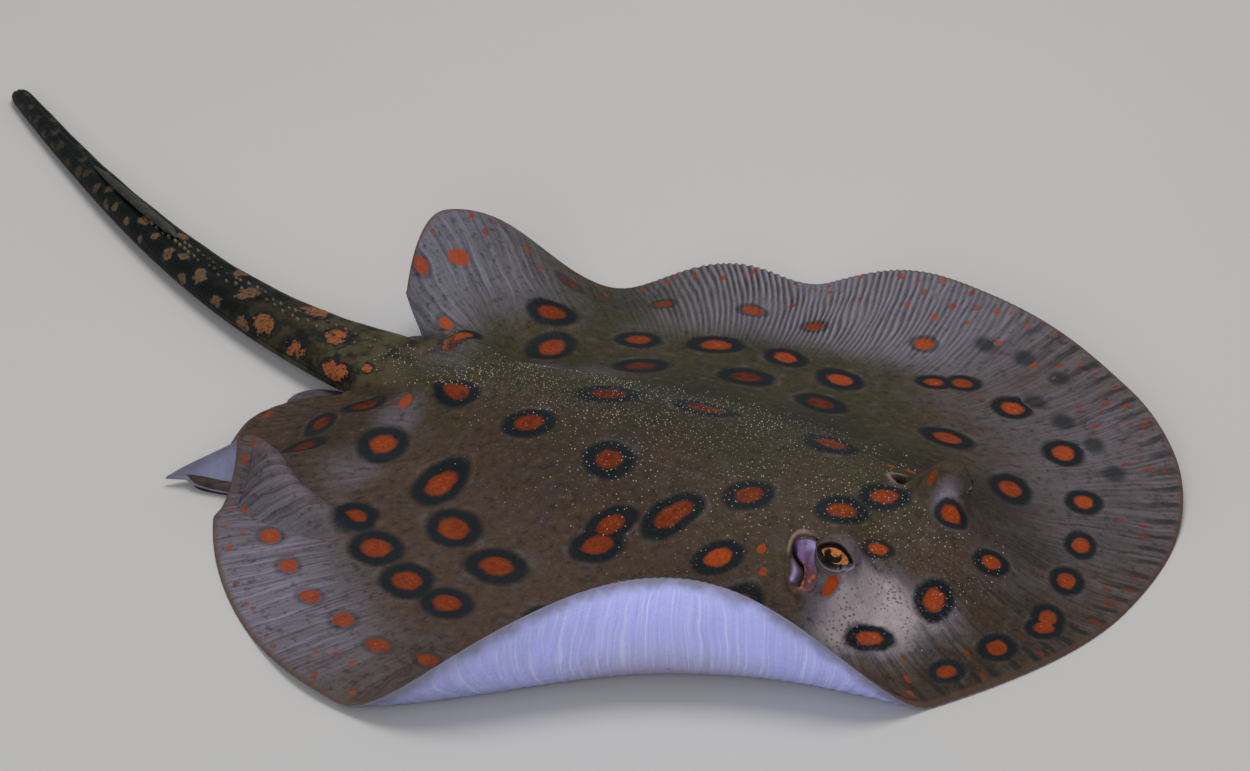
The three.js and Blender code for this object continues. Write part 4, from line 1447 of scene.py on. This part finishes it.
    back = shade.layers(
        back,
        ((shade.value("lip") * mottle.rise(0.1, 0.6) * 0.5).clamped(), "lip"),
        ((shade.value("lid") * 0.95).clamped(), "lid"),
        ((shade.value("crease") * 0.9).clamped(), "lid_crease"),
        # Painted shadow: near-black on the lid's edge round the eye.
        (shade.value("socket").clamped(), "socket"),
    )
    height = shade.value("valve_up") + (mottle - 0.5) * 0.2
    flap = shade.mix(height.rise(0.35, 0.7), "valve_low", "valve_middle")
    flap = shade.layers(
        flap,
        (height.rise(0.75, 1.0), "valve"),
        (vein.rise(0.5, 0.85) * 0.35, "dark"),
    )
    dots = (shade.grains(surface, 2.4 * MM) + (vein - 0.5) * 0.3).rise(0.45, 0.25)
    flap = shade.mix(dots * height.rise(0.62, 0.4) * 0.6, flap, "peach")
    back = shade.layers(
        back,
        ((shade.value("valve") * 0.97).clamped(), flap),
        ((shade.value("inner_lip") * 0.8).clamped(), "valve"),
        # Painted shadow: near-black in the spiracle's slit and along the front of its rim.
        (shade.value("slit").clamped(), "slit"),
    )

    belly = belly_colour(shade, flat, angle, reach, mottle, cloud)
    base = shade.mix(under.clamped(), back, belly)

    bump = mottle * 0.4 + vein * 0.35 + fine * 0.25 + ray * outer * 0.1
    rough = (mottle - 0.5) * 0.14 + 0.52
    return shade.finish(base, bump, 0.0006, rough)


def belly_colour(shade, flat, angle, reach, mottle, cloud):
    """Bluish white, with fine rays towards a dusky, blurred margin and a few violet spots."""
    bent = angle + (cloud - 0.5) * 0.04
    ray = shade.noise(shade.join(bent * BELLY_STREAKS, reach * 3), 1, 3, 0.55)
    out = reach + (mottle - 0.5) * 0.03 + (ray - 0.5) * 0.012
    blue = shade.mix((reach + (mottle - 0.5) * 0.06).rise(0.5, 0.86), "belly", "belly_blue")
    # Painted shade: greyer low on the rolled-up edge, near the floor.
    rolled = (angle + math.radians(-ROLL.at)).band(0, 0.8) * reach.band(0.74, 0.14)
    blue = shade.layers(
        blue,
        (rolled * 0.8, "belly_grey"),
        (ray.rise(0.5, 0.95) * reach.rise(0.7, 0.84) * 0.55, "belly"),
        (ray.rise(0.5, 0.1) * reach.rise(0.7, 0.84) * 0.3, "belly_grey"),
        (out.rise(0.955, 1.0) * 0.85, "belly_margin_and_shade"),
    )
    # Painted shade on the outer underside at the right rear, where the fold's flap shows it.
    rear = (angle + (mottle - 0.5) * 0.2).rise(-1.05, -1.9) * angle.rise(-3.1, -2.6)
    rear = rear * reach.rise(0.6, 0.85)
    blue = shade.mix(rear * 0.75, blue, "belly_margin_and_shade")
    spots = (shade.grains(flat, 21) + (mottle - 0.5) * 0.05).rise(0.1, 0.03) * reach.rise(0.5, 0.7)
    blue = shade.mix(spots * 0.6, blue, "belly_spot")
    sole = shade.mix(shade.value("tail").rise(0.0, 0.5), "tail_sole", "tail_sole_tip")
    blue = shade.mix(shade.value("onto_tail"), blue, sole)
    return shade.mix((shade.value("opening") * 0.85).clamped(), blue, "opening")


# In mm from the gaze: the iris, and the pupil as a flattened disc less a lobe from above.
EYE_LOOK = Sizes(
    iris=5.8, pupil=3.3, flatness=1.45, middle=(-0.6, -0.3), lobe=(-0.2, 1.5), lobe_radius=1.9,
)


def eye_material():
    look = EYE_LOOK
    shade = Shade("eyeball", 0.4, Specular_IOR_Level=0.08)
    across, upward, ahead = shade.parts(shade.place("iris"))
    out = across.length_with(upward)
    grain = shade.noise(shade.place("iris"), 1.1, 4, 0.65)
    turning = shade.angle(upward, across)
    threads = (turning * 46 + grain * 7).sine()
    iris = shade.mix(grain.rise(0.2, 0.75), "iris_deep", "iris_bright")
    iris = shade.mix(threads.rise(0.2, 1.0) * 0.25, iris, "iris_thread")
    iris = shade.mix(out.rise(4.4, look.iris) * 0.8, iris, "iris_edge")
    # Near-black beyond the iris: the eyeball's own dark rim, with painted shadow of the lids.
    iris = shade.mix(out.rise(look.iris - 0.2, look.iris + 0.3), iris, "iris_rim_and_shadow")
    side, rise = across - look.middle[0], (upward - look.middle[1]) * look.flatness
    dark = side.length_with(rise)
    side, rise = across - look.lobe[0], upward - look.lobe[1]
    lobe = side.length_with(rise)
    pupil = dark.rise(look.pupil + 0.15, look.pupil - 0.15)
    pupil = pupil * lobe.rise(look.lobe_radius - 0.15, look.lobe_radius + 0.15)
    iris = shade.mix(pupil.clamped() * 0.98, iris, "pupil")
    back = shade.mix(ahead.rise(1.0, 2.5), "eye_back", iris)
    return shade.finish(back)


def cornea_material():
    """Clear, with reflections that grow towards its edge; light passes straight through."""
    shade = Shade("cornea", 0.5)
    clear = shade.add("ShaderNodeBsdfTransparent")
    shine = shade.add("ShaderNodeBsdfGlossy")
    shine.inputs["Roughness"].default_value = 0.03
    edge = shade.add("ShaderNodeFresnel")
    edge.inputs["IOR"].default_value = 1.38
    facing = 1 - Field(shade, shade.add("ShaderNodeNewGeometry").outputs["Backfacing"])
    blend = shade.add("ShaderNodeMixShader")
    shade.plug(Field(shade, edge.outputs["Fac"]) * facing * 0.6, blend.inputs["Fac"])
    shade.plug(clear.outputs["BSDF"], blend.inputs[1])
    shade.plug(shine.outputs["BSDF"], blend.inputs[2])
    shade.plug(blend.outputs["Shader"], shade.tree.nodes["Material Output"].inputs["Surface"])
    shade.tree.nodes.remove(shade.shader)
    return shade.material


def grainy_material(name, roughness, size, detail, edges, low, high):
    """One tone in soft grains of about this size over another."""
    shade = Shade(name, roughness)
    grain = shade.noise(shade.surface(), size * MM, detail)
    return shade.finish(shade.mix(grain.rise(*edges), low, high))


# ---------------------------------------------------------------- eyes


# The eyeball's front is flattened inside this many degrees off the gaze, where the iris lies
# behind the cornea; rings of points run round the gaze.
IRIS_SUNK = Sizes(edge=56, bulge=0.9, around=96, ball_rings=72, cornea_rings=26)
CORNEA = Sizes(outer=0.12, inner=0.15, beyond=3)


def rings(out, ahead):
    """Rings of points round the gaze, after a first point that lies on it."""
    turned = np.arange(IRIS_SUNK.around) * 2 * math.pi / IRIS_SUNK.around
    out, ahead = out[:, None], ahead[:, None]
    points = stacked(np.cos(turned) * out, np.sin(turned) * out, ahead)
    return np.concatenate([points[:1, :1] * (0, 0, 1), points.reshape(1, -1, 3)], axis=1)[0]


def dome(rows):
    """Faces of rings of points that close in a middle point (number 0)."""
    around = IRIS_SUNK.around
    i = np.arange(around)
    k = (i + 1) % around
    firsts = 1 + around * np.arange(rows - 1)[:, None]
    quads = stacked(firsts + i, firsts + around + i, firsts + around + k, firsts + k)
    return quads.reshape(-1, 4), stacked(0, 1 + i, 1 + k)


def eye_piece(name, side, local, quads, tris):
    """A piece from points given across, up and along one eye's gaze, turned outwards."""
    gaze, across, upward = eye_axes(side)
    axes = np.stack([across, upward, gaze])
    if np.linalg.det(axes) < 0:
        quads, tris = quads[:, ::-1], tris[:, ::-1]
    name += "_right" if side < 0 else "_left"
    return make_mesh(name, eye_centre(side) + local @ axes, quads, tris)


def build_eye(side):
    """The eyeball: a ball whose front is flattened where the iris lies behind the cornea."""
    off = np.linspace(0, math.pi, IRIS_SUNK.ball_rings)[1:]
    edge = math.radians(IRIS_SUNK.edge)
    plane = EYE.radius * math.cos(edge)
    reach = np.where(off < edge, plane / np.cos(np.minimum(off, edge)), EYE.radius)
    out = reach * np.sin(off)
    bulge = IRIS_SUNK.bulge * (1 - (out / (EYE.radius * math.sin(edge))) ** 2)
    local = rings(out, reach * np.cos(off) + np.where(off < edge, bulge, 0))
    piece = eye_piece("eyeball", side, local, *dome(len(off)))
    attribute = piece.data.attributes.new("iris", "FLOAT_VECTOR", "POINT")
    attribute.data.foreach_set("vector", local.astype(np.float32).reshape(-1))
    return piece


def build_cornea(side):
    """A clear cap over the iris: an outer dome and an inner one, closed at their edge."""
    widest = math.radians(IRIS_SUNK.edge + CORNEA.beyond)
    off = np.linspace(0, widest, IRIS_SUNK.cornea_rings)[1:]
    shell = rings(np.sin(off), np.cos(off))
    shell[0, 2] = 1
    shells = [shell * (EYE.radius + more) for more in (CORNEA.outer, -CORNEA.inner)]
    quads, tris = dome(len(off))
    shift = len(shell)
    rim = shift - IRIS_SUNK.around + np.arange(IRIS_SUNK.around)
    after = np.roll(rim, -1)
    closing = stacked(rim, rim + shift, after + shift, after)
    quads = np.concatenate([quads, quads[:, ::-1] + shift, closing])
    tris = np.concatenate([tris, tris[:, ::-1] + shift])
    return eye_piece("cornea", side, np.concatenate(shells), quads, tris)


# ---------------------------------------------------------------- denticles and thorns


CONES = Sizes(sunk=0.12, patch=1.1)


def build_cones(name, dice, look, roots, normals, unwrap, sides=5):
    """Low closed cones of scattered sizes leaning backwards, one for each root, each a small
    patch of its own on the unwrap."""
    size = dice.random(len(roots))
    width, height = between(*look.width, size), between(*look.height, size)
    turned = np.arange(sides) * 2 * math.pi / sides
    side_a = unit(np.cross(normals, np.array([0.3, 0.9, 0.1])))
    side_b = np.cross(normals, side_a)
    ring = (
        side_a[:, None, :] * np.cos(turned)[None, :, None]
        + side_b[:, None, :] * np.sin(turned)[None, :, None]
    ) * (width / 2)[:, None, None]
    base = roots[:, None, :] + ring - normals[:, None, :] * CONES.sunk
    tip = roots + normals * height[:, None] + stacked(-look.lean * height, 0, 0)
    points = np.concatenate([base, tip[:, None, :]], axis=1).reshape(-1, 3)
    start = np.arange(len(roots))[:, None] * (sides + 1)
    i = np.arange(sides)
    k = (i + 1) % sides
    up = stacked(start + i, start + k, start + sides).reshape(-1, 3)
    floor = stacked(start, start + i[2:], start + i[1:-1]).reshape(-1, 3)
    tris = np.concatenate([up, floor])
    patch = np.concatenate([stacked(np.cos(turned), np.sin(turned)) * CONES.patch, [(0, 0)]])
    places = (unwrap[:, None, :] + patch[None, :, :]).reshape(-1, 2)
    return make_mesh(name, points, np.zeros((0, 4), int), tris, places[tris].reshape(-1, 2))


# Half of the strip with denticles at places along the x axis, and where there are none.
DENTICLES = Sizes(
    spacing=2.4, jitter=0.45, width=(0.5, 0.95), height=(0.2, 0.36), lean=0.3, most=0.9,
    strip=[(-150, 20), (-60, 58), (20, 74), (80, 62), (128, 36)], front=128, rear=-146,
    half_width=76, bare=[(EYE.x, EYE.y, 15), (82, 38, 14)],
)


def build_denticles(grid):
    """Tiny pale teeth of the skin over the middle of the back, densest along the backbone."""
    dice = np.random.default_rng(SEED + 5)
    d = DENTICLES
    xs = np.arange(d.rear, d.front, d.spacing)
    ys = np.arange(-d.half_width, d.half_width, d.spacing)
    x, y = (part.reshape(-1) for part in np.meshgrid(xs, ys, indexing="ij"))
    x = x + dice.uniform(-d.jitter, d.jitter, x.size) * d.spacing
    y = y + dice.uniform(-d.jitter, d.jitter, y.size) * d.spacing
    keep = dice.random(x.size) < d.most * hump(y / along(d.strip, x)) ** 0.8
    for at_x, at_y, gap in d.bare:
        keep &= np.hypot(x - at_x, np.abs(y) - at_y) > gap
    x, y = x[keep], y[keep]
    roots, normals = on_back(grid, x, y)
    return build_cones("denticles", dice, d, roots, normals, stacked(x, y) + ATLAS.back)


def on_back(grid, x, y):
    """Points and normals of the back over flat places."""
    angle = np.degrees(np.arctan2(y, x))
    row = np.hypot(x, y) / outline(angle)
    rows = grid["rows"]
    j = np.clip(np.interp(row, rows, np.arange(len(rows))), 1, len(rows) - 2)
    low = j.astype(int)
    part = (j - low)[:, None]
    lean = lean_of(row) * hump(turn(angle - FOLD.at) / FOLD.reach)
    angles = grid["angles"]
    i = np.interp(turn(angle - lean), angles, np.arange(len(angles)))
    first = i.astype(int)
    turned = (i - first)[:, None]
    second = (first + 1) % len(angles)
    back = grid["back"]

    def sample(rows_at):
        return back[first, rows_at] * (1 - turned) + back[second, rows_at] * turned

    roots = sample(low) * (1 - part) + sample(low + 1) * part
    outward = sample(low + 1) - sample(low)
    beside = back[(first + 3) % len(angles), low] - back[(first - 3) % len(angles), low]
    return roots, unit(np.cross(outward, beside))


THORNS = Sizes(
    rows=(-0.12, 0.16), first=6, spacing=5.2, jitter=0.06, width=(2.0, 2.8), height=(1.1, 1.7),
    lean=0.5, until=0.5, sides=6,
)


def build_thorns(tail):
    """Blunt thorns down the middle of the tail as far as the sting, in two loose rows."""
    dice = np.random.default_rng(SEED + 6)
    t = THORNS
    distance = tail["flat"][:, 0, 0] * -1 + TAIL_SHEET_END
    roots, unwrap = [], []
    for row in t.rows:
        far = t.first + dice.uniform(0, 3)
        while far < distance[-1] * t.until:
            i = int(np.searchsorted(distance, far))
            sideways = tail["sideways"][i]
            order = np.argsort(sideways)
            place = row + dice.uniform(-t.jitter, t.jitter)
            j = order[np.searchsorted(sideways[order], place)]
            roots.append(tail["upper"][i, j])
            unwrap.append(tail["unwrap"][i, j])
            far += t.spacing * dice.uniform(0.75, 1.3)
    normals = np.broadcast_to((0.0, 0.0, 1.0), (len(roots), 3))
    roots, unwrap = np.array(roots), np.array(unwrap)
    return build_cones("tail_thorns", dice, t, roots, normals, unwrap, t.sides)


# Root and tip are shares along the tail, smooth and rooted shares of the blade.
STING = Sizes(
    root=0.47, tip=0.71, width=5.2, thickness=2.6, rooted=0.1, root_width=0.35, gap=0.3,
    barbs=26, barb=0.16, smooth=0.22, groove=0.16, groove_half=0.4, around=16, steps=8,
)


def build_sting():
    """A flat, pointed blade along the top of the tail, with a row of barbs down each edge."""
    s = STING
    part = np.linspace(0, 1, s.barbs * s.steps + 1)
    share = between(s.root, s.tip, part)
    taper = np.sqrt(np.clip(1 - 0.995 * part ** 3, 0, 1))
    taper = taper * (s.root_width + (1 - s.root_width) * ramp(part / s.rooted))
    tooth = 1 - (part * s.barbs) % 1
    barbs = s.barb * tooth * ramp((part - s.smooth) / 0.1)
    around = np.arange(s.around) * 2 * math.pi / s.around
    edge = np.abs(np.cos(around)) ** 3
    half = 0.5 * s.width * taper[:, None]
    across = half * np.cos(around) * (1 - s.barb * edge + barbs[:, None] * edge)
    groove = s.groove * hump(np.cos(around) / s.groove_half) * (np.sin(around) > 0)
    up = 0.5 * s.thickness * taper[:, None] * (np.sin(around) - groove)
    level = along(TAIL_HEIGHTS, share) + s.gap + 0.5 * s.thickness * taper
    plan = tail_middle(share)[:, None, :] + tail_side(share)[:, None, :] * across[..., None]
    points = lifted(plan, level[:, None] + up).reshape(-1, 3)
    i = np.arange(s.around)
    k = (i + 1) % s.around
    ring = s.around * np.arange(len(part) - 1)[:, None]
    quads = stacked(ring + i, ring + k, ring + s.around + k, ring + s.around + i).reshape(-1, 4)
    last = s.around * (len(part) - 1)
    ends = [stacked(0, i[2:], i[1:-1]), last + stacked(0, i[1:-1], i[2:])]
    return make_mesh("sting_blade", points, quads, np.concatenate(ends))


# ---------------------------------------------------------------- floor, light and camera

# The camera looks at a point on the floor from this heading and height, in degrees and mm, with
# this angle of view across the picture.
CAMERA = Sizes(heading=40.5, height=29, distance=1419, target=(-81.8, 59.3), view=19.7)


def add_camera():
    around, above = math.radians(CAMERA.heading), math.radians(CAMERA.height)
    level = math.cos(above)
    back = Vector((math.sin(around) * level, -math.cos(around) * level, math.sin(above)))
    target = Vector((*CAMERA.target, 0)) * MM
    data = bpy.data.cameras.new("camera")
    data.sensor_fit = "HORIZONTAL"
    data.angle = math.radians(CAMERA.view)
    data.clip_start = 0.01
    camera = bpy.data.objects.new("camera", data)
    camera.location = target + back * CAMERA.distance * MM
    camera.rotation_euler = back.to_track_quat("Z", "Y").to_euler()
    bpy.context.scene.collection.objects.link(camera)
    bpy.context.scene.camera = camera


def add_area(name, place, aim, size, power, tint):
    data = bpy.data.lights.new(name, "AREA")
    data.shape = "DISK"
    data.size = size
    data.energy = power
    data.color = tint
    lamp = bpy.data.objects.new(name, data)
    lamp.location = place
    lamp.rotation_euler = (Vector(place) - Vector(aim)).to_track_quat("Z", "Y").to_euler()
    bpy.context.scene.collection.objects.link(lamp)
    return lamp


def add_floor():
    reach = 4.0
    mesh = bpy.data.meshes.new("floor")
    corners = [(-reach, -reach, 0), (reach, -reach, 0), (reach, reach, 0), (-reach, reach, 0)]
    mesh.from_pydata(corners, [], [(0, 1, 2, 3)])
    floor = bpy.data.objects.new("floor", mesh)
    shade = Shade("floor", 0.9)
    base = shade.mix(shade.noise(shade.surface(), 0.5, 2) * 0.3, "floor_pale", "floor_grey")
    floor.data.materials.append(shade.finish(base))
    bpy.context.scene.collection.objects.link(floor)


def add_light():
    world = bpy.data.worlds.new("studio")
    bpy.context.scene.world = world
    world.use_nodes = True
    sky = world.node_tree.nodes["Background"]
    sky.inputs["Color"].default_value = (0.93, 0.96, 1.0, 1)
    sky.inputs["Strength"].default_value = 0.34
    add_area("key", (-0.3, 0.4, 1.5), (-0.1, 0.0, 0), 0.9, 12, (1.0, 0.98, 0.95))
    fill = add_area("fill", (0.75, -1.3, 0.75), (0.0, 0.0, 0), 1.0, 11, (0.93, 0.95, 1.0))
    fill.visible_glossy = False


# ---------------------------------------------------------------- the model


def dress(piece, material, nodes=()):
    piece.data.materials.clear()
    piece.data.materials.append(material)
    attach(piece, "root")
    if nodes:
        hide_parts(*nodes)


def main():
    skin, grid, tail = build_skin()
    loose = ("sting", "eye_right", "eye_left")
    flesh = [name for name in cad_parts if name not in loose]
    dress(skin, skin_material(), flesh)
    eye_look = eye_material()
    cornea_look = cornea_material()
    for side, node in ((-1, "eye_right"), (1, "eye_left")):
        dress(build_eye(side), eye_look, [node])
        dress(build_cornea(side), cornea_look)
    pale = grainy_material("denticle", 0.5, 20, 2, (0.35, 0.65), "denticle_dull", "denticle_pale")
    dark = grainy_material("thorn", 0.5, 20, 2, (0.35, 0.65), "thorn_dark", "thorn_pale")
    horn = grainy_material("sting", 0.45, 4, 3, (0.4, 0.7), "sting_dark", "sting_pale")
    dress(build_denticles(grid), pale)
    dress(build_thorns(tail), dark)
    dress(build_sting(), horn, ["sting"])
    add_floor()
    add_light()
    add_camera()
    bpy.context.scene.view_settings.view_transform = "Standard"


main()
